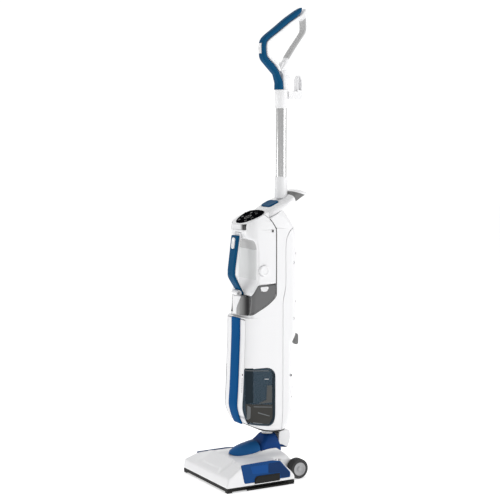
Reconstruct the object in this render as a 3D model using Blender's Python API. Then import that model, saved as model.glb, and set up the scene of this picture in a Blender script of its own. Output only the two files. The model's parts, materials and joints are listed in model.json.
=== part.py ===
"""Upright wet and dry floor scrubber: a floor head with a powered brush roller, a tilting and
swivelling neck, a body with a tinted waste tank, a lift-off hand unit with a clean-water tank,
and a telescopic handle with a loop grip.

Metres, +Z up, front of the machine towards -Y, origin on the floor under the middle of its box.
Shapes are laid out from a datum on the head's centre line and moved by DATUM_Y at the end."""
import math

import bmesh
import bpy

# ---------------------------------------------------------------- driving dimensions
DATUM_Y = 0.0060            # moves the layout datum so the whole machine is centred on y = 0
GAP = 0.0003                # clearance between touching pieces
WALL = 0.0025               # moulded wall thickness

HEAD_HALF_W = 0.117         # floor head
HEAD_FRONT = -0.152
HEAD_REAR = 0.038
COVER_LOW = 0.0112          # lower edge of the white cover
BASE_LOW = 0.0035
FOOT_H = BASE_LOW - GAP

ROLLER_Y = -0.103
ROLLER_Z = 0.0232
ROLLER_R = 0.0212
ROLLER_HALF_L = 0.098
MOUTH_HALF_W = 0.1005       # brush mouth in the base
MOUTH_HALF_D = 0.0245
SHAFT_R = 0.003
MOTOR_Y = -0.044
MOTOR_Z = 0.030
MOTOR_R = 0.0165
PULLEY_X = -0.1095
ROLLER_PULLEY_R = 0.0105
MOTOR_PULLEY_R = 0.0063
BELT_W = 0.004
BELT_T = 0.0012

WHEEL_Y = 0.0706
WHEEL_R = 0.025
WHEEL_IN = 0.0615
WHEEL_OUT = 0.0865
HUB_R = 0.0165
AXLE_R = 0.004

TILT_Y = 0.030              # tilt axis of the neck
TILT_Z = 0.058
DRUM_R = 0.0180
DRUM_HALF_W = 0.0305
SWIVEL_Y = 0.0265           # swivel axis of the body
NECK_R = 0.0115

BODY_HALF_W = 0.056
REAR_CORNER = 0.020
FASCIA_HALF_W = 0.0440
BAR_HALF_W = 0.020
REAR_SEAM = 0.0392          # side seam between the main shell and the rear cover
UNIT_REAR = 0.0190          # rear face of the hand unit
TANK_TOP = 0.486            # top of the clean-water tank

MAIN_MOTOR_Y = 0.050

TUBE_Y = 0.066
TUBE_R = 0.0135
STEM_TOP = 0.750
TUBE_TOP = 0.919
GRIP_START = 0.9645
LOOP_HALF_W = 0.0115

# body stations from the bottom up: height, front, rear, half width, front corner across and back
BODY = (
    (0.114, -0.0460, 0.0560, 0.0470, 0.0160, 0.0240),
    (0.140, -0.0545, 0.0660, 0.0525, 0.0140, 0.0300),
    (0.152, -0.0605, 0.0700, 0.0545, 0.0125, 0.0360),
    (0.170, -0.0665, 0.0725, 0.0558, 0.0115, 0.0420),
    (0.187, -0.0700, 0.0728, BODY_HALF_W, 0.0108, 0.0460),
    (0.230, -0.0675, 0.0730, BODY_HALF_W, 0.0108, 0.0460),
    (0.335, -0.0630, 0.0735, BODY_HALF_W, 0.0108, 0.0450),
    (0.362, -0.0620, 0.0840, BODY_HALF_W, 0.0108, 0.0440),
    (0.4070, -0.0612, 0.0840, BODY_HALF_W, 0.0108, 0.0420),
    (0.4075, -0.0516, 0.0840, BODY_HALF_W, 0.0100, 0.0120),
    (0.461, -0.0478, 0.0840, BODY_HALF_W, 0.0100, 0.0120),
    (0.466, -0.0478, 0.0840, BODY_HALF_W, 0.0100, 0.0120),
    (0.482, -0.0385, 0.0840, BODY_HALF_W, 0.0080, 0.0100),
    (0.499, -0.0305, 0.0840, BODY_HALF_W, 0.0040, 0.0040),
    (0.588, -0.0305, 0.0840, BODY_HALF_W, 0.0040, 0.0040),
    (0.601, -0.0380, 0.0840, BODY_HALF_W, 0.0120, 0.0120),
    (0.607, -0.0540, 0.0840, BODY_HALF_W, 0.0260, 0.0280),
    (0.628, -0.0575, 0.0770, 0.0552, 0.0300, 0.0300),
    (0.648, -0.0560, 0.0665, 0.0510, 0.0300, 0.0300),
    (0.668, -0.0520, 0.0540, 0.0450, 0.0280, 0.0280),
    (0.690, -0.0480, 0.0420, 0.0400, 0.0260, 0.0260),
)
BODY_FLOOR = ((0.090, 0.128), (0.066, 0.1245), (0.045, 0.1210), (0.025, 0.1205), (0.0, 0.1240),
              (-0.020, 0.1292), (-0.038, 0.1362), (-0.054, 0.1430), (-0.075, 0.1510))
# side outline of the hand unit's seam against the body, top to bottom
SEAM = ((0.0030, 0.6740), (0.0040, 0.6500), (0.0125, 0.6400), (0.0180, 0.6270),
        (UNIT_REAR, 0.6050), (UNIT_REAR, 0.4640))
TANK_FLOOR = ((0.0140, 0.4535), (-0.0045, 0.4390), (-0.0300, 0.4255), (-0.0490, 0.4165),
              (-0.0700, 0.4110))
WINDOW = ((-0.090, 0.1300), (-0.0300, 0.1343), (0.0040, 0.1350), (0.0130, 0.1405), (0.0172, 0.1520),
          (0.0172, 0.2690), (0.0010, 0.2820), (-0.090, 0.2820))
DECK = (  # distance back, half width, underside, top
    (0.0045, 0.0380, 0.6495, 0.6672),
    (0.0180, 0.0440, 0.6560, 0.6750),
    (0.0330, 0.0455, 0.6640, 0.6832),
    (0.0500, 0.0455, 0.6735, 0.6900),
    (0.0660, 0.0445, 0.6815, 0.6975),
    (0.0800, 0.0400, 0.6865, 0.7070),
    (0.0900, 0.0340, 0.6885, 0.7145),
    (0.1060, 0.0280, 0.6960, 0.7168),
    (0.1250, 0.0205, 0.7035, 0.7122),
    (0.1395, 0.0110, 0.7040, 0.7062),
)
LOOP_FRONT = (
    ((0.0445, 1.0010), (0.0610, 1.0130)),
    ((0.0260, 1.0190), (0.0520, 1.0290)),
    ((0.0093, 1.0370), (0.0340, 1.0430)),
    ((0.0060, 1.0520), (0.0262, 1.0530)),
    ((0.0060, 1.0760), (0.0262, 1.0750)),
    ((0.0150, 1.0934), (0.0320, 1.0810)),
    ((0.0470, 1.1180), (0.0620, 1.1025)),
    ((0.0785, 1.1421), (0.0920, 1.1245)),
    ((0.1215, 1.1700), (0.1165, 1.1385)),
)
LOOP_REAR = (
    ((0.1310, 1.1650), (0.1205, 1.1370)),
    ((0.1372, 1.1480), (0.1225, 1.1330)),
    ((0.1385, 1.1300), (0.1235, 1.1240)),
    ((0.1375, 1.1085), (0.1225, 1.1080)),
    ((0.1240, 1.0870), (0.1100, 1.0900)),
    ((0.1020, 1.0560), (0.0900, 1.0640)),
    ((0.0790, 1.0230), (0.0690, 1.0330)),
)
GRIP_SHARE = 0.60

# ---------------------------------------------------------------- colours
FINISHES = {
    "white_gloss": ((0.90, 0.90, 0.91), 0.25, 0.0),
    "blue": ((0.009, 0.068, 0.168), 0.35, 0.0),
    "blue_head": ((0.012, 0.062, 0.220), 0.35, 0.0),
    "black_plastic": ((0.012, 0.012, 0.012), 0.45, 0.0),
    "black_glass": ((0.004, 0.004, 0.005), 0.08, 0.0),
    "grey_plastic": ((0.16, 0.16, 0.16), 0.5, 0.0),
    "rubber": ((0.025, 0.025, 0.025), 0.8, 0.0),
    "hub_grey": ((0.55, 0.55, 0.55), 0.4, 0.0),
    "smoke": ((0.19, 0.19, 0.19), 0.15, 0.0),
    "smoke_blue": ((0.045, 0.07, 0.09), 0.15, 0.0),
    "chrome": ((0.80, 0.80, 0.82), 0.12, 1.0),
    "steel": ((0.45, 0.45, 0.46), 0.3, 1.0),
    "bristle": ((0.10, 0.30, 0.55), 0.9, 0.0),
    "foam": ((0.75, 0.74, 0.70), 0.9, 0.0),
    "board_green": ((0.02, 0.16, 0.06), 0.5, 0.0),
}


def finish(name):
    """The named Principled material, made once."""
    material = bpy.data.materials.get(name)
    if material is None:
        colour, roughness, metallic = FINISHES[name]
        material = bpy.data.materials.new(name)
        material.use_nodes = True
        shader = material.node_tree.nodes["Principled BSDF"]
        shader.inputs["Base Color"].default_value = (*colour, 1.0)
        shader.inputs["Roughness"].default_value = roughness
        shader.inputs["Metallic"].default_value = metallic
    return material


# ---------------------------------------------------------------- modelling tools
def clear_scene():
    for item in list(bpy.data.objects):
        bpy.data.objects.remove(item, do_unlink=True)


def solid(name, verts, faces, colour="white_gloss"):
    """A mesh object from points and faces."""
    mesh = bpy.data.meshes.new(name)
    mesh.from_pydata([tuple(v) for v in verts], [], faces)
    mesh.update()
    item = bpy.data.objects.new(name, mesh)
    bpy.context.scene.collection.objects.link(item)
    item.data.materials.append(finish(colour))
    shape = bmesh.new()
    shape.from_mesh(mesh)
    if shape.calc_volume(signed=True) < 0:
        bmesh.ops.reverse_faces(shape, faces=shape.faces)
        shape.to_mesh(mesh)
    shape.free()
    return item


def loft(name, rings, colour="white_gloss", closed=False):
    """A skin over rings of equal length. Closed makes a loop of rings, otherwise the ends are capped."""
    size = len(rings[0])
    verts = [point for ring in rings for point in ring]
    spans = len(rings) if closed else len(rings) - 1
    faces = []
    for row in range(spans):
        low = row * size
        high = (row + 1) % len(rings) * size
        for k in range(size):
            after = (k + 1) % size
            faces.append((low + k, low + after, high + after, high + k))
    if not closed:
        faces.append(tuple(reversed(range(size))))
        faces.append(tuple(range((len(rings) - 1) * size, len(rings) * size)))
    return solid(name, verts, faces, colour)


def prism(name, outline, x_low, x_high, colour="white_gloss"):
    """A side outline of (y, z) points, anticlockwise seen from +X, extruded across the machine."""
    rings = [[(x, y, z) for y, z in outline] for x in (x_low, x_high)]
    return loft(name, rings, colour)


def box(name, low, high, colour="white_gloss"):
    (x0, y0, z0), (x1, y1, z1) = low, high
    return prism(name, ((y0, z0), (y1, z0), (y1, z1), (y0, z1)), x0, x1, colour)


def turned(name, profile, axis, centre, colour, segments=20):
    """A closed (distance along the axis, radius) outline spun about the X, Y or Z axis."""
    rings = []
    for k in range(segments):
        angle = 2 * math.pi * k / segments
        c, s = math.cos(angle), math.sin(angle)
        spots = {
            "X": [(a, r * c, r * s) for a, r in profile],
            "Y": [(r * s, a, r * c) for a, r in profile],
            "Z": [(r * c, r * s, a) for a, r in profile],
        }[axis]
        rings.append([tuple(p + q for p, q in zip(spot, centre)) for spot in spots])
    item = loft(name, rings, colour, closed=True)
    return item


def disc(name, axis, centre, radius, low, high, colour="white_gloss", segments=20):
    """A plain round bar between two distances along its axis."""
    def ring(a):
        points = []
        for k in range(segments):
            angle = 2 * math.pi * k / segments
            c, s = radius * math.cos(angle), radius * math.sin(angle)
            spot = {"X": (a, c, s), "Y": (s, a, c), "Z": (c, s, a)}[axis]
            points.append(tuple(p + q for p, q in zip(spot, centre)))
        return points
    return loft(name, [ring(low), ring(high)], colour)


def stack(name, axis, centre, steps, colour="white_gloss", segments=20):
    """A solid round bar of changing radius: steps are (distance along the axis, radius)."""
    rings = []
    for a, radius in steps:
        points = []
        for k in range(segments):
            angle = 2 * math.pi * k / segments
            c, s = radius * math.cos(angle), radius * math.sin(angle)
            spot = {"X": (a, c, s), "Y": (s, a, c), "Z": (c, s, a)}[axis]
            points.append(tuple(p + q for p, q in zip(spot, centre)))
        rings.append(points)
    return loft(name, rings, colour)


def combine(item, tool, operation, solver="EXACT"):
    """Applies one Boolean and removes the tool."""
    step = item.modifiers.new("join", "BOOLEAN")
    step.object = tool
    step.operation = operation
    step.solver = solver
    graph = bpy.context.evaluated_depsgraph_get()
    mesh = bpy.data.meshes.new_from_object(item.evaluated_get(graph))
    item.modifiers.clear()
    item.data = mesh
    bpy.data.objects.remove(tool, do_unlink=True)
    return item


def cut(item, *tools):
    for tool in tools:
        combine(item, tool, "DIFFERENCE")
    return item


def join(item, *tools, solver="EXACT"):
    for tool in tools:
        combine(item, tool, "UNION", solver)
    return item


def common(item, tool):
    return combine(item, tool, "INTERSECT")


def rounded_section(front, rear, half_w, front_r, rear_r, z, steps=4, depth=None):
    """A plan ring of a body section at height z, anticlockwise from above. The front corners are
    quarter ellipses when a depth is given."""
    depth = front_r if depth is None else depth
    corners = (
        (half_w - front_r, front + depth, front_r, depth, -90),
        (half_w - rear_r, rear - rear_r, rear_r, rear_r, 0),
        (-(half_w - rear_r), rear - rear_r, rear_r, rear_r, 90),
        (-(half_w - front_r), front + depth, front_r, depth, 180),
    )
    ring = []
    for cx, cy, across, back, start in corners:
        for k in range(steps + 1):
            angle = math.radians(start + 90 * k / steps)
            ring.append((cx + across * math.cos(angle), cy + back * math.sin(angle), z))
    return ring


def envelope(name, inset=0.0):
    """The body's outer form, or the same form moved inwards."""
    rings = []
    for z, front, rear, half_w, across, back in BODY:
        rings.append(rounded_section(front + inset, rear - inset, half_w - inset,
                                     max(across - inset, 0.001), REAR_CORNER - inset, z,
                                     depth=max(back - inset, 0.001)))
    return loft(name, rings)


def fillet(outline, radius, steps=3):
    """Rounds every corner of an outline by up to the given radius."""
    result = []
    count = len(outline)
    for k in range(count):
        before, here, after = outline[k - 1], outline[k], outline[(k + 1) % count]
        def towards(other):
            length = math.dist(here, other)
            reach = min(radius, 0.45 * length) / length
            return tuple(h + (o - h) * reach for h, o in zip(here, other))
        start, end = towards(before), towards(after)
        for n in range(steps + 1):
            t = n / steps
            result.append(tuple((1 - t) ** 2 * a + 2 * t * (1 - t) * b + t * t * c
                                for a, b, c in zip(start, here, end)))
    return result


# ---------------------------------------------------------------- floor head
HEAD_SIDE = ((HEAD_FRONT, COVER_LOW), (HEAD_REAR, COVER_LOW), (HEAD_REAR, 0.0210), (0.0270, 0.0345),
             (0.0000, 0.0590), (-0.0200, 0.0610), (-0.1020, 0.0610), (-0.1130, 0.0590),
             (-0.1490, 0.0285), (HEAD_FRONT, 0.0180))
PANEL_SIDE = ((-0.1037, 0.0185), (0.0240, 0.0189), (0.0240, 0.0312), (-0.0041, 0.0626),
              (-0.0268, 0.0668), (-0.0717, 0.0662), (-0.1140, 0.0650))
ARM_SIDE = ((0.0300, 0.0130), (0.0760, 0.0145), (0.0820, 0.0220), (0.0800, 0.0310),
            (0.0620, 0.0470), (0.0300, 0.0520))


def hump():
    """The raised middle of the cover that carries the neck."""
    rows = ((0.050, 0.056, -0.108, 0.060), (0.060, 0.050, -0.096, 0.056), (0.068, 0.043, -0.078, 0.052),
            (0.075, 0.0385, -0.056, 0.048), (0.081, 0.0365, -0.032, 0.044))
    return loft("hump", [rounded_section(front, rear, half, half * 0.75, 0.012, z, 5)
                         for z, half, front, rear in rows])


SKIRT_TOP = 0.0330           # below this height both sides of the floor head are alike
FAR_START, FAR_SPAN, FAR_DROP = -0.0430, 0.0740, 0.53


def head_cover():
    cover = prism("head_cover", HEAD_SIDE, -HEAD_HALF_W, HEAD_HALF_W)
    join(cover, hump())
    for side in (-1, 1):
        arm = prism("arm", ARM_SIDE, *sorted((side * 0.0450, side * 0.0608)))
        join(cover, arm)
    inner = [(y, z) for y, z in (
        (HEAD_FRONT + WALL, -0.001), (HEAD_REAR - WALL, -0.001), (HEAD_REAR - WALL, 0.0200),
        (0.0250, 0.0330), (-0.0010, 0.0565), (-0.1020, 0.0585), (-0.1120, 0.0565), (-0.1465, 0.0275),
        (HEAD_FRONT + WALL, 0.0180))]
    cut(cover, prism("hollow", inner, -0.1143, 0.1143))
    slot = ((-0.0100, 0.0200), (0.1000, 0.0200), (0.1000, 0.1200), (-0.0100, 0.1200))
    cut(cover, prism("neck_slot", slot, -0.0320, 0.0320))
    cut(cover, disc("pin_hole", "X", (0, TILT_Y, TILT_Z), 0.0063, -0.0420, 0.0420, segments=16))
    for side in (-1, 1):
        reach = sorted((side * 0.1160, side * 0.1200))
        cut(cover, prism("panel_pocket", [(y, z) for y, z in grown(PANEL_SIDE, GAP)], *reach))
        low, high = sorted((side * 0.0400, side * 0.0700))
        cut(cover, disc("axle_hole", "X", (0, WHEEL_Y, WHEEL_R), AXLE_R + GAP, low, high, segments=16))
    cut(cover, tongue_blank("tongue_pocket", GAP))
    return lower_far_side(cover)


def lower_far_side(item):
    """The side away from the latch stands lower: heights above the skirt shrink towards it."""
    shape = bmesh.new()
    shape.from_mesh(item.data)
    planes = [((FAR_START - FAR_SPAN * k / 4, 0, 0), (1, 0, 0)) for k in range(4)]
    for point, normal in planes + [((0, 0, SKIRT_TOP), (0, 0, 1))]:
        geometry = shape.verts[:] + shape.edges[:] + shape.faces[:]
        bmesh.ops.bisect_plane(shape, geom=geometry, dist=1e-7, plane_co=point, plane_no=normal)
    for vert in shape.verts:
        share = max(0.0, FAR_START - vert.co.x) / FAR_SPAN
        if vert.co.z > SKIRT_TOP:
            vert.co.z = SKIRT_TOP + (vert.co.z - SKIRT_TOP) * (1 - FAR_DROP * share)
    bmesh.ops.triangulate(shape, faces=shape.faces)
    shape.to_mesh(item.data)
    shape.free()
    return item


def grown(outline, amount):
    """An outline pushed outwards from its middle by about the given amount."""
    cy = sum(p[0] for p in outline) / len(outline)
    cz = sum(p[1] for p in outline) / len(outline)
    result = []
    for y, z in outline:
        length = math.hypot(y - cy, z - cz)
        stretch = 1 + amount / length * 1.5
        result.append((cy + (y - cy) * stretch, cz + (z - cz) * stretch))
    return result


def tongue_blank(name, extra=0.0, colour="blue_head"):
    """The blue cap in front of the neck: low and pointed in front, high at the neck."""
    rows = ((-0.0820, 0.002, 0.0640, 0.0670), (-0.0760, 0.014, 0.0615, 0.0720),
            (-0.0630, 0.023, 0.0610, 0.0785), (-0.0460, 0.0290, 0.0620, 0.0840),
            (-0.0250, 0.0308, 0.0660, 0.0885), (-0.0105, 0.0308, 0.0700, 0.0910))
    rings = []
    for y, half, low, high in rows:
        half, low, high = half + extra, low - extra, high + extra
        ring = []
        for k in range(9):
            angle = math.pi * k / 8
            ring.append((half * math.cos(angle), y + extra * (1 if y > -0.02 else -1),
                         low + (high - low) * math.sin(angle) ** 0.8))
        rings.append(ring)
    return loft(name, rings, colour)


def side_panel(side):
    name = "side_panel_right" if side > 0 else "side_panel_left"
    reach = sorted((side * (0.1160 + GAP), side * 0.1178))
    return lower_far_side(prism(name, PANEL_SIDE, *reach, "blue_head"))


def head_base():
    base = box("head_base", (-0.1165, -0.1505, BASE_LOW), (0.1165, 0.0365, COVER_LOW - GAP), "black_plastic")
    cut(base, box("mouth", (-MOUTH_HALF_W, ROLLER_Y - MOUTH_HALF_D, -0.01),
                  (MOUTH_HALF_W, ROLLER_Y + MOUTH_HALF_D, 0.03)))
    for side in (-1, 1):
        low, high = sorted((side * 0.1005, side * 0.1060))
        join(base, box("bearing_block", (low, ROLLER_Y - 0.008, 0.008), (high, ROLLER_Y + 0.008, 0.0330),
                       "black_plastic"))
    join(base, box("motor_cradle", (-0.0950, MOTOR_Y - 0.010, 0.008), (-0.0250, MOTOR_Y + 0.010, 0.0180),
                   "black_plastic"))
    cut(base, disc("shaft_bore", "X", (0, ROLLER_Y, ROLLER_Z), SHAFT_R + GAP, -0.12, 0.12, segments=12))
    cut(base, disc("cradle_round", "X", (0, MOTOR_Y, MOTOR_Z), MOTOR_R + GAP, -0.12, 0.0, segments=24))
    return base


def brush_roller():
    length = ROLLER_HALF_L
    return stack("brush_roller", "X", (0, ROLLER_Y, ROLLER_Z),
                 ((-0.1130, SHAFT_R), (-length, SHAFT_R), (-length, ROLLER_R), (length, ROLLER_R),
                  (length, SHAFT_R), (0.1075, SHAFT_R)), "bristle", 18)


def pulley(name, y, z, radius, bore, shaft_from):
    """A toothed wheel on the belt's plane, either on the roller's shaft or with a shaft of its own."""
    low, high = PULLEY_X - 0.0025, PULLEY_X + 0.0025
    if bore:
        profile = ((low, bore), (high, bore), (high, radius), (low, radius))
        return turned(name, profile, "X", (0, y, z), "steel", 16)
    return stack(name, "X", (0, y, z), ((low, radius), (high, radius), (high, 0.002), (shaft_from, 0.002)),
                 "steel", 16)


def belt_outline(extra, steps=9):
    """The taut loop round the two pulleys, offset outwards."""
    big, small = ROLLER_PULLEY_R + extra, MOTOR_PULLEY_R + extra
    dy, dz = MOTOR_Y - ROLLER_Y, MOTOR_Z - ROLLER_Z
    lean = math.atan2(dz, dy)
    spread = math.acos((big - small) / math.hypot(dy, dz))
    outline = []
    for k in range(steps):
        angle = lean + spread + (2 * math.pi - 2 * spread) * k / (steps - 1)
        outline.append((ROLLER_Y + big * math.cos(angle), ROLLER_Z + big * math.sin(angle)))
    for k in range(steps):
        angle = lean - spread + 2 * spread * k / (steps - 1)
        outline.append((MOTOR_Y + small * math.cos(angle), MOTOR_Z + small * math.sin(angle)))
    return outline


def drive_belt():
    low, high = PULLEY_X - BELT_W / 2, PULLEY_X + BELT_W / 2
    rings = []
    for inner, outer in zip(belt_outline(GAP), belt_outline(GAP + BELT_T)):
        rings.append([(low, *inner), (high, *inner), (high, *outer), (low, *outer)])
    return loft("drive_belt", rings, "rubber", closed=True)


def head_parts():
    head_base()
    head_cover()
    side_panel(1)
    side_panel(-1)
    tongue_blank("neck_tongue")
    box("squeegee", (-0.099, -0.0745, 0.0012), (0.099, -0.0715, BASE_LOW - GAP), "rubber")
    stack("brush_motor", "X", (0, MOTOR_Y, MOTOR_Z),
          ((-0.1000, 0.0080), (-0.0960, 0.0080), (-0.0960, MOTOR_R),
          (-0.0240, MOTOR_R), (-0.0240, 0.0070), (-0.0180, 0.0070)), "steel", 20)
    brush_roller()
    pulley("roller_pulley", ROLLER_Y, ROLLER_Z, ROLLER_PULLEY_R, SHAFT_R + GAP, 0)
    pulley("motor_pulley", MOTOR_Y, MOTOR_Z, MOTOR_PULLEY_R, 0, -0.1003)
    drive_belt()
    for side, word in ((-1, "left"), (1, "right")):
        low, high = sorted((side * 0.1030, side * 0.1160))
        box(f"foot_front_{word}", (low, -0.1500, 0.0), (high, -0.1370, FOOT_H), "rubber")
        box(f"foot_rear_{word}", (low, 0.0230, 0.0), (high, 0.0360, FOOT_H), "rubber")
    box("roller_latch", (0.1181, -0.0765, 0.0150), (0.1200, -0.0060, 0.0335), "black_plastic")


def wheels():
    for side, word in ((-1, "left"), (1, "right")):
        inner, outer = side * WHEEL_IN, side * WHEEL_OUT
        centre = (0, WHEEL_Y, WHEEL_R)
        low, high = sorted((side * 0.0470, side * 0.0800))
        disc(f"wheel_axle_{word}", "X", centre, AXLE_R, low, high, "steel", 14)
        rim = ((inner, HUB_R + GAP), (outer, HUB_R + GAP), (outer, WHEEL_R - 0.002),
               (outer - side * 0.002, WHEEL_R), (inner + side * 0.002, WHEEL_R), (inner, WHEEL_R - 0.002))
        hub = ((inner, AXLE_R + GAP), (side * 0.0805, AXLE_R + GAP), (side * 0.0805, 0.0012),
               (side * 0.0850, 0.0012), (side * 0.0850, 0.0050), (side * 0.0820, 0.0060),
               (outer, HUB_R), (inner, HUB_R))
        if side < 0:
            rim, hub = tuple(reversed(rim)), tuple(reversed(hub))
        turned(f"tyre_{word}", rim, "X", centre, "rubber", 28)
        turned(f"wheel_hub_{word}", hub, "X", centre, "hub_grey", 24)


# ---------------------------------------------------------------- neck
def neck_parts():
    drum = stack("tilt_drum", "X", (0, TILT_Y, TILT_Z), ((-0.0400, 0.0060), (-DRUM_HALF_W, 0.0060),
                 (-DRUM_HALF_W, DRUM_R), (DRUM_HALF_W, DRUM_R), (DRUM_HALF_W, 0.0060), (0.0400, 0.0060)),
                 "black_plastic", 24)
    join(drum, disc("riser", "Z", (0, SWIVEL_Y, 0), NECK_R, 0.0650, 0.1330, "black_plastic", 20))
    stations = ((0.0640, 0.0312, -0.0085, 0.0530), (0.0770, 0.0312, -0.0085, 0.0500),
                (0.0930, 0.0300, -0.0040, 0.0450), (0.1015, 0.0250, 0.0050, 0.0420),
                (0.1050, 0.0165, 0.0105, 0.0425))
    boot = loft("neck_boot", [rounded_section(front, rear, half, 0.008, 0.008, z)
                              for z, half, front, rear in stations], "blue_head")
    cut(boot, disc("drum_room", "X", (0, TILT_Y, TILT_Z), DRUM_R + GAP, -0.0306, 0.0306, segments=24))
    cut(boot, box("drum_drop", (-0.0306, TILT_Y - DRUM_R - GAP, 0.030),
                  (0.0306, TILT_Y + DRUM_R + GAP, TILT_Z)))
    cut(boot, disc("riser_room", "Z", (0, SWIVEL_Y, 0), NECK_R + GAP, 0.060, 0.120))
    turned("swivel_collar",
           ((0.1055, 0.0145), (0.1150, 0.0140), (0.1150, NECK_R + GAP), (0.1055, NECK_R + GAP)),
           "Z", (0, SWIVEL_Y, 0), "white_gloss", 24)
    outer = ((0.0540, 0.0700), (0.0690, 0.0690), (0.0760, 0.0800), (0.0790, 0.0930), (0.0770, 0.1130),
             (0.0560, 0.1130))
    cover = prism("neck_rear_cover", outer, -0.0280, 0.0280)
    cut(cover, prism("hollow", ((0.0500, 0.0600), (0.0670, 0.0600), (0.0732, 0.0810), (0.0765, 0.0930),
                                (0.0748, 0.1080), (0.0500, 0.1080)), -0.0255, 0.0255))
    return cover


# ---------------------------------------------------------------- body
def region(name, outline, half=0.2):
    """A side outline cut right across the machine, used to divide the body."""
    return prism(name, outline, -half, half)


def below_floor(drop=0.0):
    """Everything under the body's curved underside."""
    line = tuple((y, z - drop) for y, z in BODY_FLOOR)
    return region("underside", ((-0.30, 0.0), (0.30, 0.0), (0.30, 0.128 - drop), *line,
                                (-0.30, 0.151 - drop)))


DECK_LINE = tuple((y, low) for y, half, low, high in DECK)
REAR_LINE = ((REAR_SEAM, 0.050), (REAR_SEAM, 0.4300), (0.0400, 0.4480), (0.0462, 0.4760), (0.0473, 0.5000),
             (0.0473, 0.5750), (0.0508, 0.6023), (0.0674, 0.6237), (0.1200, 0.6400))


def main_shell():
    shell = envelope("main_shell")
    under_deck = [(y, z - GAP) for y, z in reversed(DECK_LINE[1:6])] + [(0.0056, 0.6497)]
    seam = [(y + GAP, z) for y, z in SEAM[2:]]
    cradle = [(y, z - GAP) for y, z in TANK_FLOOR]
    common(shell, region("main_region", [(-0.2, 0.05)] + [(y - GAP / 2, z + GAP / 2) for y, z in REAR_LINE]
                         + [(0.1200, 0.6880)] + under_deck + seam + cradle + [(-0.2, 0.4107)]))
    cut(shell, below_floor())
    pocket = ((-0.2, 0.05), (-0.0240, 0.05), (-0.0240, 0.1340), (0.0042, 0.1345), (0.0134, 0.1402),
              (0.0176, 0.1519), (0.0176, 0.4035), (-0.2, 0.4035))
    cut(shell, prism("tank_pocket", pocket, -FASCIA_HALF_W - GAP, FASCIA_HALF_W + GAP))
    cut(shell, region("window", grown(WINDOW, GAP)))
    hollow = envelope("hollow", WALL)
    common(hollow, region("hollow_region", ((0.0190, 0.1340), (0.2, 0.1340), (0.2, 0.7), (0.0690, 0.6800),
                                            (0.0500, 0.6700), (0.0330, 0.6605), (0.0222, 0.6540),
                                            (0.0222, 0.4640), (0.0190, 0.4400))))
    cut(shell, hollow)
    cut(shell, disc("riser_bore", "Z", (0, SWIVEL_Y, 0), NECK_R + GAP, 0.10, 0.20))
    shelf = envelope("motor_shelf", WALL + 0.0006)
    common(shelf, region("shelf_region", ((0.0180, 0.4120), (0.0800, 0.4120), (0.0800, 0.4190),
                                          (0.0180, 0.4190))))
    join(shelf, box("shelf_root", (-0.0545, 0.0180, 0.4120), (0.0545, 0.0390, 0.4190)))
    cut(shelf, disc("motor_eye", "Z", (0, MAIN_MOTOR_Y, 0), 0.0135, 0.40, 0.43))
    return join(shell, shelf)


def rear_cover():
    cover = envelope("rear_cover")
    line = [(y + GAP / 2, z - GAP / 2) for y, z in REAR_LINE]
    common(cover, region("rear_region", [(0.2, 0.05), (0.2, 0.64)] + line[::-1]))
    cut(cover, below_floor())
    hollow = envelope("hollow", WALL)
    common(hollow, region("hollow_region", ((0.0, 0.1320), (0.2, 0.1320), (0.2, 0.70), (0.0, 0.70))))
    cut(cover, hollow)
    cut(cover, disc("gland_bore", "Y", (0.025, 0, 0.220), 0.0068, 0.060, 0.090, segments=16))
    return cover


def base_plate():
    plate = envelope("base_plate", 0.0012)
    plate.data.materials[0] = finish("black_plastic")
    ceiling = [(y, z - GAP) for y, z in BODY_FLOOR]
    common(plate, region("plate_region", [(-0.0240, 0.05), (0.0600, 0.05), (0.0600, 0.1233)]
                         + [p for p in ceiling if -0.024 < p[0] < 0.060] + [(-0.0240, 0.1304)]))
    cut(plate, below_floor(0.0032))
    cut(plate, disc("riser_bore", "Z", (0, SWIVEL_Y, 0), NECK_R + GAP, 0.10, 0.20))
    return plate


def deck():
    lid = deck_blank("deck")
    slope_pocket = button_blank("pocket", 0.0250 + GAP, 0.0150 + GAP, -0.0060, 0.010)
    cut(lid, slope_pocket)
    cut(lid, region("insert_pocket", grown(INSERT_SIDE, GAP)))
    cut(lid, disc("stem_socket", "Z", (0, TUBE_Y, 0), TUBE_R + 0.0028, 0.6960, 0.72))
    return cut(lid, panel("display_clearance", GAP, -0.0012, 0.02, "white_gloss"))


def deck_blank(name, steps=8):
    rings = []
    for y, half, low, high in DECK:
        ring = []
        for k in range(steps + 1):
            angle = math.pi * k / steps
            ring.append((-half * math.copysign(abs(math.cos(angle)) ** 0.32, math.cos(angle)), y,
                         low + 0.002 + (high - low - 0.002) * math.sin(angle) ** 0.32))
        ring += [(half * 0.96, y, low), (-half * 0.96, y, low)]
        rings.append(ring)
    return loft(name, rings)


INSERT_SIDE = ((0.0780, 0.7010), (0.0880, 0.7090), (0.1235, 0.7030), (0.1235, 0.6900), (0.0940, 0.6820),
               (0.0860, 0.6925))


def wing_insert():
    """The grey underside of the rear lip, a triangle when seen from the side."""
    item = deck_blank("wing_insert")
    item.data.materials[0] = finish("grey_plastic")
    common(item, region("insert_region", INSERT_SIDE))
    return cut(item, disc("stem_bore", "Z", (0, TUBE_Y, 0), TUBE_R + 0.0028, 0.6700, 0.72))


SLOPE = math.radians(26)     # slope of the deck's front and of the display
BUTTON_Y, BUTTON_Z = 0.0330, 0.6838


def on_slope(x, along, out, centre):
    """A point on the sloping top: along runs back and up, out leaves the surface."""
    cy, cz = centre
    across, rise = math.cos(SLOPE), math.sin(SLOPE)
    return (x, cy + along * across - out * rise, cz + along * rise + out * across)


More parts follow.
